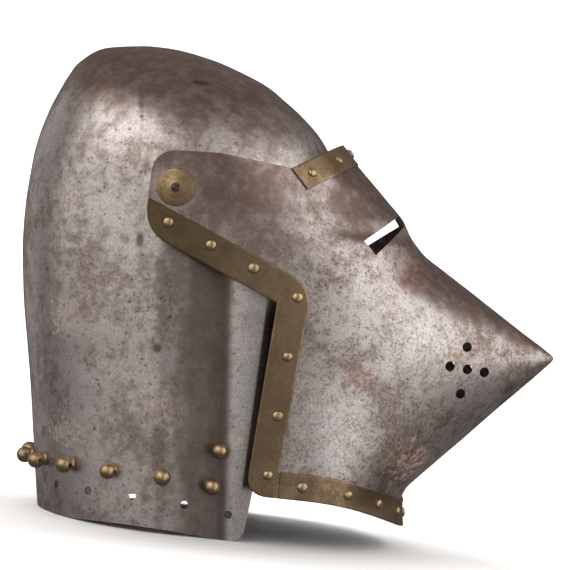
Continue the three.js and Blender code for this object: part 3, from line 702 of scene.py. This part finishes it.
# Rivets: low domes over peened shanks
rivet = {
    "head": 3.4,
    "rise": 1.9,
    "rim": 0.3,
    "seat": 0.04,
    "shank": 1.4,
    "peen": 2.2,
    "peenRows": [(0, 0.9), (0.55, 0.85), (0.9, 0.55), (1, 0.05)],  # share of its radius, depth
    "peenSeat": 0.02,
    "line": 0.61,  # share of the border's width
    "diagonalStart": 24.5,
    "diagonalPitch": 32,
    "diagonal": 3,
    "uprightStart": 5.1,
    "uprightPitch": 39.8,
    "upright": 4,
    "chinX": [107.3, 138.4, 160.7, 175.5],
    "browX": [88.6, 105.7],
    "chinMiddle": 24,
    "browMiddle": 268.5,
    "uneven": 0.05,
    "tilt": 0.03,
}
through = border["brass"] + border["gap"] + visor["plate"]


def rivetProfile():
    head = rivet["head"] * (1 + rivet["uneven"] * random.uniform(-1, 1))
    rise = rivet["rise"] * (1 + 2 * rivet["uneven"] * random.uniform(-1, 1))
    peen = rivet["peen"] * (1 + 2 * rivet["uneven"] * random.uniform(-1, 1))
    profile = [[share * peen, -through - depth] for share, depth in rivet["peenRows"]]
    profile += [[rivet["shank"], -through - rivet["peenSeat"]], [rivet["shank"], rivet["seat"]]]
    profile += [[head, rivet["seat"]], [head, rivet["rim"]]]
    for angle in range(12, 90, 13):
        turn = math.radians(angle)
        profile.append([head * math.cos(turn), rivet["rim"] + (rise - rivet["rim"]) * math.sin(turn)])
    return profile + [[0, rise]]


rivets = []


def addRivet(name, x, height, side):
    point, way = visorSeat(x, height, side, border["gap"] + border["brass"])
    way = way + np.array([random.uniform(-rivet["tilt"], rivet["tilt"]) for k in range(3)])
    rivets.append((name, seated(f"{name}_head", spun(rivetProfile()), point, way)))


slope = math.radians(visor["diagonalSlope"])
inset = rivet["line"] * border["width"]
for name, side in bothSides:
    for k in range(rivet["diagonal"]):
        along = rivet["diagonalStart"] + rivet["diagonalPitch"] * k
        x = visor["elbow"][0] - along * math.cos(slope) + inset * math.sin(slope)
        height = diagonalAt(x) + inset / math.cos(slope)
        addRivet(f"side_rivet_{name}_{rivet['diagonal'] - k}", x, height, side)
    for k in range(rivet["upright"]):
        height = visor["elbow"][1] + rivet["uprightStart"] - rivet["uprightPitch"] * k
        x = rearEdgeAt(height) + inset
        addRivet(f"side_rivet_{name}_{rivet['diagonal'] + 1 + k}", x, height, side)
    for k, x in enumerate(rivet["chinX"]):
        height = visor["chinHeight"] + border["chinWidth"] / 2 - chinDropAt(x)
        addRivet(f"chin_rivet_{name}_{k + 1}", x, height, side)
    for k, x in enumerate(rivet["browX"]):
        addRivet(f"brow_rivet_{name}_{k + 1}", x, browAt(x) - browDepth / 2, side)
addRivet("chin_rivet_middle", 0, rivet["chinMiddle"], 0)
addRivet("brow_rivet_middle", 0, rivet["browMiddle"], 0)

# Pivots: a shallow brass cone on each arm, and the steel pin through it
pivot = {
    "bore": 2.45,
    "pin": 2.2,
    "wornAbove": 3.6,
    "wornAcross": 0.35,
    "wornUp": 0.3,
}
# Radius and height of the disc's and the pin's edges, from the visor's side face outwards
discProfile = [
    [pivot["bore"], 0.3],
    [11.9, 0.3],
    [12.3, 0.5],
    [12.4, 1.0],
    [12.2, 1.5],
    [11.6, 1.7],
    [10.9, 1.73],
    [10.4, 1.85],
    [8.2, 2.23],
    [7.7, 2.26],
    [7.2, 2.37],
    [4.9, 2.83],
    [4.4, 2.87],
    [3.9, 3.0],
    [2.7, 3.2],
    [pivot["bore"], 3.1],
    [pivot["bore"], 0.3],
]
pinProfile = [
    [0, -7.0],
    [3.4, -6.9],
    [4.7, -6.2],
    [5.0, -5.4],
    [pivot["pin"], -5.3],
    [pivot["pin"], 3.5],
    [2.9, 3.5],
    [3.0, 3.75],
    [2.5, 4.15],
    [1.5, 4.3],
    [0, 4.25],
]
discs = []
pins = []
for name, side in bothSides:
    seat = (0, side * visor["halfWidth"], visor["pivotHeight"])
    discs.append((name, seated(f"pivot_cone_{name}", spun(discProfile, 64), seat, (0, side, 0), 30)))
    bm = spun(pinProfile, 24)
    for vert in bm.verts:
        if vert.co.z > pivot["wornAbove"]:
            worn = noise.noise(vert.co / 1.3 + Vector((side, 5, 2)))
            vert.co.x += pivot["wornAcross"] * worn
            vert.co.z += pivot["wornUp"] * noise.noise(vert.co / 1.1)
    pins.append((name, seated(f"pivot_head_{name}", bm, seat, (0, side, 0), 30)))

# Rim knobs: bored balls on necks, riveted through the skull
knob = {
    "ball": 5.6,
    "neck": 4.3,
    "reach": 12.5,
    "bore": 1.5,
    "shank": 2,
    "collar": 0.4,  # what is above it grows and shrinks with the ball
    "tilt": 0.04,
    "uneven": (-0.03, 0.02),
    "places": [(10, 35), (30, 35.5), (50, 37.5), (70, 38), (90, 38.5), (110, 35.5), (113, 60)],
}
centre = knob["reach"] - knob["ball"]
knobProfile = [[0, -3.3], [2.2, -3.2], [3.0, -2.6], [3.1, -1.65], [knob["shank"], -1.62]]
knobProfile += [[knob["shank"], 0.3], [knob["neck"], 0.3], [knob["neck"] + 0.15, 0.9]]
knobProfile += [[3.9, 1.5], [3.75, 2.3]]
for angle in range(-50, 90, 10):
    turn = math.radians(angle)
    knobProfile.append([knob["ball"] * math.cos(turn), centre + knob["ball"] * math.sin(turn)])
knobProfile.append([0, knob["reach"]])


def knobPiece(name, angle, height, side):
    point, way = skullSeat(angle, height, side)
    way = way + np.array([random.uniform(-knob["tilt"], knob["tilt"]) for k in range(3)])
    bm = spun(knobProfile, 36)
    size = 1 + random.uniform(*knob["uneven"])
    for vert in bm.verts:
        if vert.co.z > knob["collar"]:
            vert.co *= size
    knobObject = seated(f"{name}_ball", bm, point, way, 50)
    tool = bmesh.new()
    along = np.cross((0, 0, 1), way)
    along = along / np.linalg.norm(along)
    middle = point + way / np.linalg.norm(way) * (centre - 0.5)
    rod(tool, middle, along, knob["bore"], -9, 9, 20)
    return carve(knobObject, tool, "DIFFERENCE", 50)


knobs = []
for name, side in bothSides:
    for k, (angle, height) in enumerate(knob["places"]):
        label = f"knob_{name}_{k + 1}"
        knobs.append((label, knobPiece(label, angle, height, side)))
print("rivets", len(rivets), "knobs", len(knobs))


# Materials
def colour(text):
    values = [int(text[k : k + 2], 16) / 255 for k in (1, 3, 5)]
    return [v / 12.92 if v <= 0.04045 else ((v + 0.055) / 1.055) ** 2.4 for v in values] + [1]


# Adds a shader node, sets its fields, sets or links its inputs, and gives one of its outputs.
def addNode(tree, kind, fields, inputs, output=0):
    made = tree.nodes.new("ShaderNode" + kind)
    for name, value in fields.items():
        setattr(made, name, value)
    for name, value in inputs.items():
        if isinstance(value, bpy.types.NodeSocket):
            tree.links.new(value, made.inputs[name])
        else:
            made.inputs[name].default_value = value
    return made.outputs[output] if made.outputs else None


# Fields of the nodes that the finishes use most
plus = {"operation": "ADD"}
minus = {"operation": "SUBTRACT"}
times = {"operation": "MULTIPLY"}
timesUpToOne = {"operation": "MULTIPLY", "use_clamp": True}
larger = {"operation": "MAXIMUM"}
smooth = {"interpolation_type": "SMOOTHSTEP"}
tint = {"data_type": "RGBA"}


def startMaterial(name):
    material = bpy.data.materials.new(name)
    material.use_nodes = True
    tree = material.node_tree
    tree.nodes.clear()
    place = addNode(tree, "TexCoord", {}, {}, "Object")
    return material, tree, place


def finishMaterial(tree, inputs):
    shader = addNode(tree, "BsdfPrincipled", {}, inputs)
    addNode(tree, "OutputMaterial", {}, {"Surface": shader})


# Noise with features of a size in millimetres, moved by a shift in centimetres.
def specks(tree, place, size, detail=4, rough=0.55, shift=(0, 0, 0)):
    moved = addNode(tree, "VectorMath", plus, {0: place, 1: [s * 0.01 for s in shift]})
    settings = {"Vector": moved, "Scale": 1000 / size, "Detail": detail, "Roughness": rough}
    return addNode(tree, "TexNoise", {}, settings)


# 1 near a centre in millimetres of the pivots' frame, falling to 0 at the size from it.
def spot(tree, place, centre, size, squash):
    middle = [float(v) for v in toMetres(centre)]
    off = addNode(tree, "VectorMath", minus, {0: place, 1: middle})
    scaled = addNode(tree, "VectorMath", times, {0: off, 1: squash})
    length = addNode(tree, "VectorMath", {"operation": "LENGTH"}, {0: scaled}, "Value")
    return addNode(tree, "MapRange", smooth, {0: length, 1: size * 0.001, 2: 0.0})


# 1 inside any of the listed spots, falling to 0 at their edges.
def areas(tree, place, spots):
    mask = 0.0
    for centre, size, squash in spots:
        near = spot(tree, place, centre, size, squash)
        mask = addNode(tree, "Math", larger, {0: mask, 1: near})
    return mask


# An upright band in millimetres of the pivots' frame. It leans back with height, and each of its
# four edges fades over twice its own width.
def bandMask(tree, parts, band):
    lean = addNode(tree, "Math", times, {0: parts["Z"], 1: band["lean"]})
    across = addNode(tree, "Math", plus, {0: parts["X"], 1: lean})
    edges = [
        (across, band["back"] + pivotX, band["backFade"]),
        (across, band["front"] + pivotX, -band["frontFade"]),
        (parts["Z"], band["foot"], band["footFade"]),
        (parts["Z"], band["top"], -band["topFade"]),
    ]
    mask = band["level"]
    for value, edge, fade in edges:
        low, high = (edge - fade) * 0.001, (edge + fade) * 0.001
        inside = addNode(tree, "MapRange", smooth, {0: value, 1: low, 2: high})
        mask = addNode(tree, "Math", times, {0: mask, 1: inside})
    return mask


# A faint ridge left by the forging: a line in the side view, on the right of the skull
def ridgeHeight(tree, parts, ridge):
    footX, footHeight = ridge["foot"]
    topX, topHeight = ridge["top"]
    lean = (topX - footX) / (topHeight - footHeight)
    start = (footX + pivotX - lean * footHeight) * 0.001
    line = addNode(tree, "Math", times, {0: parts["Z"], 1: lean})
    line = addNode(tree, "Math", plus, {0: line, 1: start})
    off = addNode(tree, "Math", minus, {0: parts["X"], 1: line})
    off = addNode(tree, "Math", {"operation": "ABSOLUTE"}, {0: off})
    edges = [
        (off, ridge["halfWidth"], 0.0),
        (parts["Z"], footHeight, footHeight + ridge["footFade"]),
        (parts["Y"], *ridge["sideFade"]),
    ]
    rise = ridge["rise"]
    for value, low, high in edges:
        inside = addNode(tree, "MapRange", smooth, {0: value, 1: low * 0.001, 2: high * 0.001})
        rise = addNode(tree, "Math", times, {0: rise, 1: inside})
    return rise


# Small round pits: a share of the cells of a pitch in millimetres holds one.
def pitMask(tree, place, pit):
    moved = addNode(tree, "VectorMath", plus, {0: place, 1: (pit["shift"], pit["shift"], 0.0)})
    cells = addNode(tree, "TexVoronoi", {}, {"Vector": moved, "Scale": 1000 / pit["pitch"]}).node.outputs
    drawn = addNode(tree, "SeparateColor", {}, {0: cells["Color"]})
    sizes = {0: drawn, 1: 1 - pit["chance"], 2: 1.0, 3: 0.0, 4: pit["size"]}
    reach = addNode(tree, "MapRange", smooth, sizes)
    within = addNode(tree, "Math", minus, {0: reach, 1: cells["Distance"]})
    return addNode(tree, "MapRange", smooth, {0: within, 1: 0.0, 2: pit["rim"]})


# What both plates share: sizes of the patterns in millimetres, and colours from clean to stained, with the
# painted highlight's
steel = {
    "cloudSize": 46,
    "mottleSize": 8,
    "fineSize": 1.2,
    "flakeSize": 3.5,
    "unevenEdge": 0.06,  # metres by which the brown's edge wanders
    "clean": "#cdc6c2",
    "clouded": "#a2958e",
    # colour of the painted highlights
    "paintedSheen": "#e6e2df",
    "fine": "#85776f",
    "grain": "#6a574b",
    "pits": "#4d3f38",
    "stains": "#4c3a30",
    "smallPits": {"pitch": 2.6, "chance": 0.25, "size": 0.42, "shift": 0.0, "rim": 0.12},
    "largePits": {"pitch": 7, "chance": 0.16, "size": 0.26, "shift": 0.3, "rim": 0.12},
}


# Where the plate is brown, partly patina and partly painted shade: what is high, what faces up, which is
# painted shade, and the listed areas, with uneven edges
def brownAndShadeMask(tree, place, parts, cloud, mottle, finish):
    uneven = addNode(tree, "Math", minus, {0: cloud, 1: 0.5})
    uneven = addNode(tree, "Math", times, {0: uneven, 1: steel["unevenEdge"]})
    height = addNode(tree, "Math", plus, {0: parts["Z"], 1: uneven})
    low, high = finish["brownHeights"]
    brown = addNode(tree, "MapRange", smooth, {0: height, 1: low, 2: high})
    low, high = finish["brownReach"]
    behind = addNode(tree, "MapRange", smooth, {0: parts["X"], 1: low, 2: high})
    brown = addNode(tree, "Math", times, {0: brown, 1: behind})
    # painted shade: faces that turn up are made brown
    facing = addNode(tree, "TexCoord", {}, {}, "Normal")
    lift = addNode(tree, "SeparateXYZ", {}, {0: facing}, "Z")
    wander = addNode(tree, "Math", times, {0: uneven, 1: 2.0})
    lift = addNode(tree, "Math", plus, {0: lift, 1: wander})
    low, high = finish["shadeFacingUp"]
    shadeAbove = addNode(tree, "MapRange", smooth, {0: lift, 1: low, 2: high})
    brown = addNode(tree, "Math", larger, {0: brown, 1: shadeAbove})
    listed = areas(tree, place, finish["browned"])
    listed = addNode(tree, "Math", timesUpToOne, {0: listed, 1: 1.8})
    brown = addNode(tree, "Math", larger, {0: brown, 1: listed})
    kept = addNode(tree, "Math", minus, {0: 1.0, 1: areas(tree, place, finish["rubbed"])})
    brown = addNode(tree, "Math", times, {0: brown, 1: kept})
    patchy = addNode(tree, "MapRange", smooth, {0: mottle, 1: 0.3, 2: 0.6, 3: 0.75, 4: 1.0})
    return addNode(tree, "Math", times, {0: brown, 1: patchy})


# Forged steel, once polished: grey with fine pitting, stains and rust; brown, partly patina and partly
# painted shade, where never rubbed; and painted highlights in the listed areas
def steelMaterial(name, finish):
    material, tree, place = startMaterial(name)
    broad = specks(tree, place, steel["cloudSize"], 3, 0.6)
    mottle = specks(tree, place, steel["mottleSize"], 4, 0.62, (3, 1, 2))
    small = specks(tree, place, finish["grainSize"], 5, 0.72, (5, 8, 1))
    fine = specks(tree, place, steel["fineSize"], 3, 0.65, (9, 4, 7))
    flakes = specks(tree, place, steel["flakeSize"], 6, 0.75, (2, 6, 4))
    parts = addNode(tree, "SeparateXYZ", {}, {0: place}).node.outputs
    brown = brownAndShadeMask(tree, place, parts, broad, mottle, finish)
    paintedSheen = areas(tree, place, finish["paintedSheen"])
    bands = [(band, bandMask(tree, parts, band)) for band in finish["bands"]]

    # How clean the plate is, for the marks that only show on clean steel: less under the brown and the
    # painted shade, and a little less under the painted highlights
    marksHidden = brown
    for band, mask in bands:
        if band["hidesMarks"]:
            marksHidden = addNode(tree, "Math", larger, {0: marksHidden, 1: mask})
    marksHidden = addNode(tree, "Math", times, {0: marksHidden, 1: 0.8})
    clean = addNode(tree, "Math", minus, {0: 1.0, 1: marksHidden})
    spared = addNode(tree, "Math", times, {0: paintedSheen, 1: 0.3})
    clean = addNode(tree, "Math", minus, {0: clean, 1: spared})

    cloud = addNode(tree, "Math", plus, {0: broad, 1: mottle})
    cloud = addNode(tree, "Math", times, {0: cloud, 1: 0.5})
    grain = addNode(tree, "Math", times, {0: cloud, 1: 0.5})
    grain = addNode(tree, "Math", plus, {0: small, 1: grain})
    low, high = finish["grainLevels"]
    grainMask = addNode(tree, "MapRange", smooth, {0: grain, 1: low, 2: high})
    grainMask = addNode(tree, "Math", times, {0: grainMask, 1: clean})
    smallPits = pitMask(tree, place, steel["smallPits"])
    pits = addNode(tree, "Math", larger, {0: smallPits, 1: pitMask(tree, place, steel["largePits"])})
    pits = addNode(tree, "Math", times, {0: pits, 1: clean})
    stains = areas(tree, place, finish["stains"])
    stains = addNode(tree, "Math", timesUpToOne, {0: stains, 1: 1.6})
    rusty = addNode(tree, "Math", times, {0: areas(tree, place, finish["rust"]), 1: 0.19})
    rusty = addNode(tree, "Math", plus, {0: flakes, 1: rusty})
    rust = addNode(tree, "MapRange", smooth, {0: rusty, 1: 0.61, 2: 0.74})

    # The colours in the order in which they lie on the plate, each with its mask and its strength
    clouding = addNode(tree, "MapRange", smooth, {0: cloud, 1: 0.42, 2: 0.6})
    speckling = addNode(tree, "MapRange", smooth, {0: fine, 1: 0.38, 2: 0.62})
    layers = [
        (clouding, 1.0, steel["clouded"]),
        # painted highlights
        (paintedSheen, 0.8, steel["paintedSheen"]),
        (speckling, 0.35, steel["fine"]),
        # brown, partly patina and partly painted shade
        (brown, 0.92, finish["brown"]),
    ]
    layers += [(mask, 1.0, band["colour"]) for band, mask in bands]
    layers += [
        (grainMask, finish["grain"], steel["grain"]),
        (pits, 0.55, steel["pits"]),
        (stains, 0.75, steel["stains"]),
        (rust, 0.6, finish["rustColour"]),
    ]
    base = colour(steel["clean"])
    for mask, strength, text in layers:
        share = addNode(tree, "Math", times, {0: mask, 1: strength})
        base = addNode(tree, "Mix", tint, {0: share, 6: base, 7: colour(text)}, 2)

    # Rust is rougher and less metallic, and pits are deeper than the grain
    levels = {0: grain, 1: 0.5, 2: 0.95, 3: finish["rough"], 4: finish["rough"] + 0.12}
    rough = addNode(tree, "MapRange", smooth, levels)
    rustRough = addNode(tree, "Math", times, {0: rust, 1: 0.2})
    rough = addNode(tree, "Math", plus, {0: rough, 1: rustRough})
    rustDull = addNode(tree, "Math", times, {0: rust, 1: 0.5})
    metal = addNode(tree, "Math", minus, {0: 0.96, 1: rustDull})
    height = addNode(tree, "Math", times, {0: small, 1: 0.6})
    height = addNode(tree, "Math", minus, {0: height, 1: pits})
    for ridge in finish["ridges"]:
        height = addNode(tree, "Math", plus, {0: height, 1: ridgeHeight(tree, parts, ridge)})
    bump = addNode(tree, "Bump", {}, {"Strength": 1.0, "Distance": 0.00004, "Height": height})
    finishMaterial(tree, {"Base Color": base, "Metallic": metal, "Roughness": rough, "Normal": bump})
    return material


# Mottled steel between two colours, with a rough skin of a depth in millimetres
def mottledMaterial(name, skin):
    material, tree, place = startMaterial(name)
    mottle = specks(tree, place, skin["size"], skin["detail"], skin["rough"])
    low, high = skin["levels"]
    mask = addNode(tree, "MapRange", smooth, {0: mottle, 1: low, 2: high})
    base = addNode(tree, "Mix", tint, {0: mask, 6: colour(skin["first"]), 7: colour(skin["second"])}, 2)
    bump = addNode(tree, "Bump", {}, {"Strength": 1.0, "Distance": skin["depth"] * 0.001, "Height": mottle})
    look = {"Metallic": skin["metallic"], "Roughness": skin["roughness"]}
    finishMaterial(tree, {"Base Color": base, "Normal": bump, **look})
    return material


# What all the brass shares, sizes in millimetres
brass = {
    "patchSize": 16,
    "fineSize": 1.8,
    # colour of the painted shade towards the pivots, and where it fades in
    "tarnishAndShade": "#54452f",
    "pivotShadeReach": (80, 10),  # millimetres ahead of the pivots
}


# Brass, dulled by age: yellow-brown, in soft patches, with painted shade darkening it towards the pivots
def brassMaterial(name, bright, dull, level, rough, pivotShade=0.0):
    material, tree, place = startMaterial(name)
    broad = specks(tree, place, brass["patchSize"], 5, 0.6)
    fine = specks(tree, place, brass["fineSize"], 5, 0.65, (4, 2, 8))
    broad = addNode(tree, "Math", times, {0: broad, 1: 0.6})
    finePart = addNode(tree, "Math", times, {0: fine, 1: 0.4})
    tarnishAndShade = addNode(tree, "Math", plus, {0: broad, 1: finePart})
    mask = addNode(tree, "MapRange", smooth, {0: tarnishAndShade, 1: level, 2: level + 0.18})
    base = addNode(tree, "Mix", tint, {0: mask, 6: colour(bright), 7: colour(dull)}, 2)
    # painted shade, darker towards the pivots
    across = addNode(tree, "SeparateXYZ", {}, {0: place}, "X")
    start, end = ((x + pivotX) * 0.001 for x in brass["pivotShadeReach"])
    pivotShadeMask = addNode(tree, "MapRange", smooth, {0: across, 1: start, 2: end, 3: 0.0, 4: pivotShade})
    base = addNode(tree, "Mix", tint, {0: pivotShadeMask, 6: base, 7: colour(brass["tarnishAndShade"])}, 2)
    bump = addNode(tree, "Bump", {}, {"Strength": 1.0, "Distance": 0.00003, "Height": fine})
    levels = {0: tarnishAndShade, 1: 0.35, 2: 0.65, 3: rough, 4: rough + 0.15}
    roughness = addNode(tree, "MapRange", smooth, levels)
    look = {"Base Color": base, "Metallic": 1.0, "Roughness": roughness, "Normal": bump}
    finishMaterial(tree, look)
    return material


# Places of marks are (x, y, z) in millimetres of the pivots' frame, a size, and a squash each way
skullFinish = {
    "brown": "#806a60",
    "brownHeights": (0.262, 0.3),
    "brownReach": (-0.5, -0.4),  # all of the skull
    # painted shade on the faces turned up
    "shadeFacingUp": (0.62, 0.85),
    "browned": [],
    "rubbed": [],
    # painted highlights on the skull's front panels, where they mirror the lights
    "paintedSheen": [((70, -92, 90), 80, (2.6, 0.4, 0.3)), ((70, 92, 90), 80, (2.6, 0.4, 0.3))],
    "bands": [
        {  # painted shade: dark band in the cheek's fold, where the visor keeps the lights from mirroring in the steel
            "colour": "#54473f",
            "level": 0.8,
            "hidesMarks": True,
            "lean": 0.1,
            "back": 28,
            "backFade": 9,
            "front": 61.5,
            "frontFade": 3,
            "foot": -50,
            "footFade": 3,
            "top": 200,
            "topFade": 10,
        },
        {  # painted shadow and reflection of the visor's border: black band along the skull's front edge, under the visor
            "colour": "#1d1815",
            "level": 0.92,
            "hidesMarks": False,
            "lean": -0.014,
            "back": 66.8,
            "backFade": 1,
            "front": 200,
            "frontFade": 3,
            "foot": 36,
            "footFade": 3,
            "top": 162,
            "topFade": 10,
        },
    ],
    "ridges": [
        {
            "foot": (-26.5, 250),
            "top": (-36.5, 310),
            "rise": 7,
            "halfWidth": 3.5,
            "footFade": 20,
            "sideFade": (-10, -30),
        },
    ],
    "grain": 0.5,
    "grainSize": 2.2,
    "grainLevels": (0.74, 0.92),
    "rough": 0.3,
    "rustColour": "#84695b",
    "rust": [
        ((-62, -75, 136), 30, (1, 0.4, 1)),
        ((-59, -70, 57), 26, (1, 0.4, 1)),
        ((7, -95, 82), 26, (1, 0.4, 1)),
        ((-68, -70, 213), 30, (1, 0.4, 1)),
    ],
    "stains": [
        ((6.5, -60, 302), 9, (1, 0.1, 4)),
        ((0.3, -97, 122.7), 5, (1, 0.1, 1)),
        ((-19.5, -98, 192.4), 8, (2, 0.1, 1)),
    ],
}
visorFinish = {
    "brown": "#77625a",
    "brownHeights": (0.165, 0.235),
    "brownReach": (0.03, -0.03),
    # painted shade on the faces turned up
    "shadeFacingUp": (0.42, 0.62),
    "browned": [((124, -58, 240), 36, (1, 0.3, 1)), ((124, 58, 240), 36, (1, 0.3, 1))],
    "rubbed": [((0, -103, 230), 22, (1, 0.5, 1)), ((0, 103, 230), 22, (1, 0.5, 1))],
    # painted highlights on the visor's near cheek and snout
    "paintedSheen": [((120, -95, 85), 55, (1, 0.3, 1)), ((178, -72, 142), 45, (1, 0.3, 1))],
    "bands": [],
    "ridges": [],
    "grain": 0.62,
    "grainSize": 1.9,
    "grainLevels": (0.73, 0.87),
    "rough": 0.38,
    "rustColour": "#976a50",
    "rust": [
        ((158, -45, 190), 30, (1, 0.4, 0.8)),
        ((158, 45, 190), 30, (1, 0.4, 0.8)),
        ((198, -50, 136), 26, (1, 0.4, 1)),
        ((176, -58, 66), 30, (0.8, 0.4, 1)),
        ((137, -90, 118), 24, (1, 0.4, 1)),
        ((103, -100, 224), 18, (1, 0.4, 1)),
    ],
    "stains": [],
}
insideSkin = {
    "first": "#4b4440",
    "second": "#675b53",
    "size": 12,
    "detail": 6,
    "rough": 0.65,
    "levels": (0.35, 0.65),
    "depth": 0.3,
    "metallic": 0.6,
    "roughness": 0.6,
}
pinSkin = {
    "first": "#5d5752",
    "second": "#35302c",
    "size": 1.6,
    "detail": 4,
    "rough": 0.6,
    "levels": (0.4, 0.6),
    "depth": 0.1,
    "metallic": 0.9,
    "roughness": 0.5,
}
skullSteel = steelMaterial("aged forged steel, skull", skullFinish)
visorSteel = steelMaterial("aged forged steel, visor", visorFinish)
insideSteel = mottledMaterial("forge-dark steel", insideSkin)  # left from the forge inside the plates
pinSteel = mottledMaterial("blackened steel", pinSkin)  # dark and worn at the pins' heads
# the borders get painted shade towards the pivots
borderBrass = brassMaterial("dull brass sheet", "#a28c70", "#806d56", 0.4, 0.34, 0.75)
discBrass = brassMaterial("turned brass", "#a9916f", "#877352", 0.4, 0.34)
rivetBrass = brassMaterial("brass rivets", "#bba47d", "#917b57", 0.5, 0.28)
knobBrass = brassMaterial("brass knobs", "#b59d7b", "#867154", 0.46, 0.32)
print("materials made")

pieces = [(skullPlate, "skull_body", "skull_steel", ["skull"], [skullSteel, insideSteel])]
pieces.append((visorPlate, "visor_body", "visor_steel", ["visor"], [visorSteel, insideSteel]))
for obj, node in zip(sideBorders, ("side_border_right", "side_border_left")):
    pieces.append((obj, "visor_body", "border_brass", [node], [borderBrass, borderBrass]))
pieces.append((chinBorder, "visor_body", "border_brass", ["chin_border"], [borderBrass, borderBrass]))
pieces.append((browBorder, "visor_body", "border_brass", ["brow_border"], [borderBrass, borderBrass]))
for name, obj in rivets:
    pieces.append((obj, "visor_body", "rivet_brass", [name], [rivetBrass]))
for name, obj in discs:
    pieces.append((obj, "skull_body", "disc_brass", [f"pivot_disc_{name}"], [discBrass]))
for name, obj in pins:
    pieces.append((obj, "skull_body", "pin_steel", [f"pivot_pin_{name}"], [pinSteel]))
for name, obj in knobs:
    pieces.append((obj, "skull_body", "knob_brass", [name], [knobBrass]))
for obj, body, slot, nodes, materials in pieces:
    obj.data.materials.clear()
    for material in materials:
        obj.data.materials.append(material)
    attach(obj, body)
    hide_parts(*nodes)
print("pieces", len(pieces))

# Floor that rises into a backdrop, in metres
backdrop = {"front": -3.0, "bendStart": 1.6, "bendRadius": 1.2, "top": 5.0, "halfWidth": 5.0, "steps": 12}
bm = bmesh.new()
path = [(backdrop["front"], 0.0), (backdrop["bendStart"], 0.0)]
radius = backdrop["bendRadius"]
for k in range(1, backdrop["steps"] + 1):
    turn = math.pi / 2 * k / backdrop["steps"]
    path.append((backdrop["bendStart"] + radius * math.sin(turn), radius - radius * math.cos(turn)))
path.append((backdrop["bendStart"] + radius, backdrop["top"]))
sides = (-backdrop["halfWidth"], backdrop["halfWidth"])
rows = [[bm.verts.new((x, y, z)) for y, z in path] for x in sides]
for k in range(len(path) - 1):
    bm.faces.new((rows[0][k], rows[1][k], rows[1][k + 1], rows[0][k + 1]))
bmesh.ops.recalc_face_normals(bm, faces=bm.faces)
floor = finished("floor", bm, 60)
material, tree, place = startMaterial("white paper backdrop")  # matt and even
finishMaterial(tree, {"Base Color": colour("#f4f4f4"), "Roughness": 0.9})
floor.data.materials.append(material)
floor.visible_glossy = False
floor.visible_shadow = False


def softbox(name, position, target, width, height, power):
    data = bpy.data.lights.new(name, "AREA")
    data.shape = "RECTANGLE"
    data.size = width
    data.size_y = height
    data.energy = power
    obj = bpy.data.objects.new(name, data)
    obj.location = position
    obj.rotation_euler = (Vector(target) - Vector(position)).to_track_quat("-Z", "Y").to_euler()
    bpy.context.scene.collection.objects.link(obj)
    return obj


# Light walls to the left and the right of the camera, dark between them, as the steel mirrors them.
# Azimuth is from the camera's side, and a wall reaches half its spread to each side of its middle.
headMiddle = Vector((-0.03, 0, 0.16))
lightWalls = [
    {"name": "left wall", "azimuth": -48, "elevation": 3, "spread": (48, 15), "far": 2.3, "radiance": 0.78},
    {"name": "key", "azimuth": -46, "elevation": 34, "spread": (36, 19), "far": 2.3, "radiance": 1.5},
    {"name": "right wall", "azimuth": 41, "elevation": 10, "spread": (15, 36), "far": 2.3, "radiance": 1.2},
    {"name": "side wall", "azimuth": 81, "elevation": 23, "spread": (26, 25), "far": 2.2, "radiance": 1.35},
    {"name": "back left", "azimuth": -132, "elevation": 8, "spread": (16, 22), "far": 2.2, "radiance": 0.3},
]
for wall in lightWalls:
    azimuth = math.radians(wall["azimuth"])
    elevation = math.radians(wall["elevation"])
    level = Vector((math.sin(azimuth), -math.cos(azimuth), 0))
    way = level * math.cos(elevation) + Vector((0, 0, math.sin(elevation)))
    width, height = (2 * wall["far"] * tangent(v) for v in wall["spread"])
    power = math.pi * wall["radiance"] * width * height
    softbox(wall["name"], headMiddle + way * wall["far"], headMiddle, width, height, power)
wash = softbox("backdrop wash", (0, 0.9, 2.6), (0, 2.4, 0.6), width=5.0, height=1.5, power=150)
wash.visible_glossy = False

# Surroundings: dim at the floor, brighter overhead
surround = {"colour": "#efe2db", "heights": (0.1, 0.75), "strengths": (0.15, 0.36)}
world = bpy.data.worlds.new("studio")
world.use_nodes = True
tree = world.node_tree
tree.nodes.clear()
way = addNode(tree, "TexCoord", {}, {}, "Generated")
height = addNode(tree, "SeparateXYZ", {}, {0: way}, "Z")
low, high = surround["heights"]
dim, bright = surround["strengths"]
shade = addNode(tree, "MapRange", smooth, {0: height, 1: low, 2: high, 3: dim, 4: bright})
glow = addNode(tree, "Background", {}, {"Color": colour(surround["colour"]), "Strength": shade})
addNode(tree, "OutputWorld", {}, {"Surface": glow})
bpy.context.scene.world = world

# Camera where the photograph was taken from, nearly level with the snout
camera = {
    "position": (-3.1, -1799.38, 219.1),  # millimetres
    "down": 1.5,  # degrees
    "roll": 7,
    "lens": 162.4,
    "sensor": 36,
}
down = math.radians(camera["down"])
roll = math.radians(camera["roll"])
ahead = Vector((0, math.cos(down), -math.sin(down)))
level = Vector((1, 0, 0))
upright = level.cross(ahead)
right = math.cos(roll) * level + math.sin(roll) * upright
above = math.cos(roll) * upright - math.sin(roll) * level
data = bpy.data.cameras.new("camera")
data.lens = camera["lens"]
data.sensor_width = camera["sensor"]
data.dof.use_dof = False
cameraObject = bpy.data.objects.new("camera", data)
turn = Matrix((right, above, -ahead)).transposed().to_4x4()
place = Matrix.Translation(Vector(camera["position"]) * 0.001)
cameraObject.matrix_world = place @ turn
bpy.context.scene.collection.objects.link(cameraObject)
bpy.context.scene.camera = cameraObject
bpy.context.scene.view_settings.view_transform = "Standard"

print("scene ready")
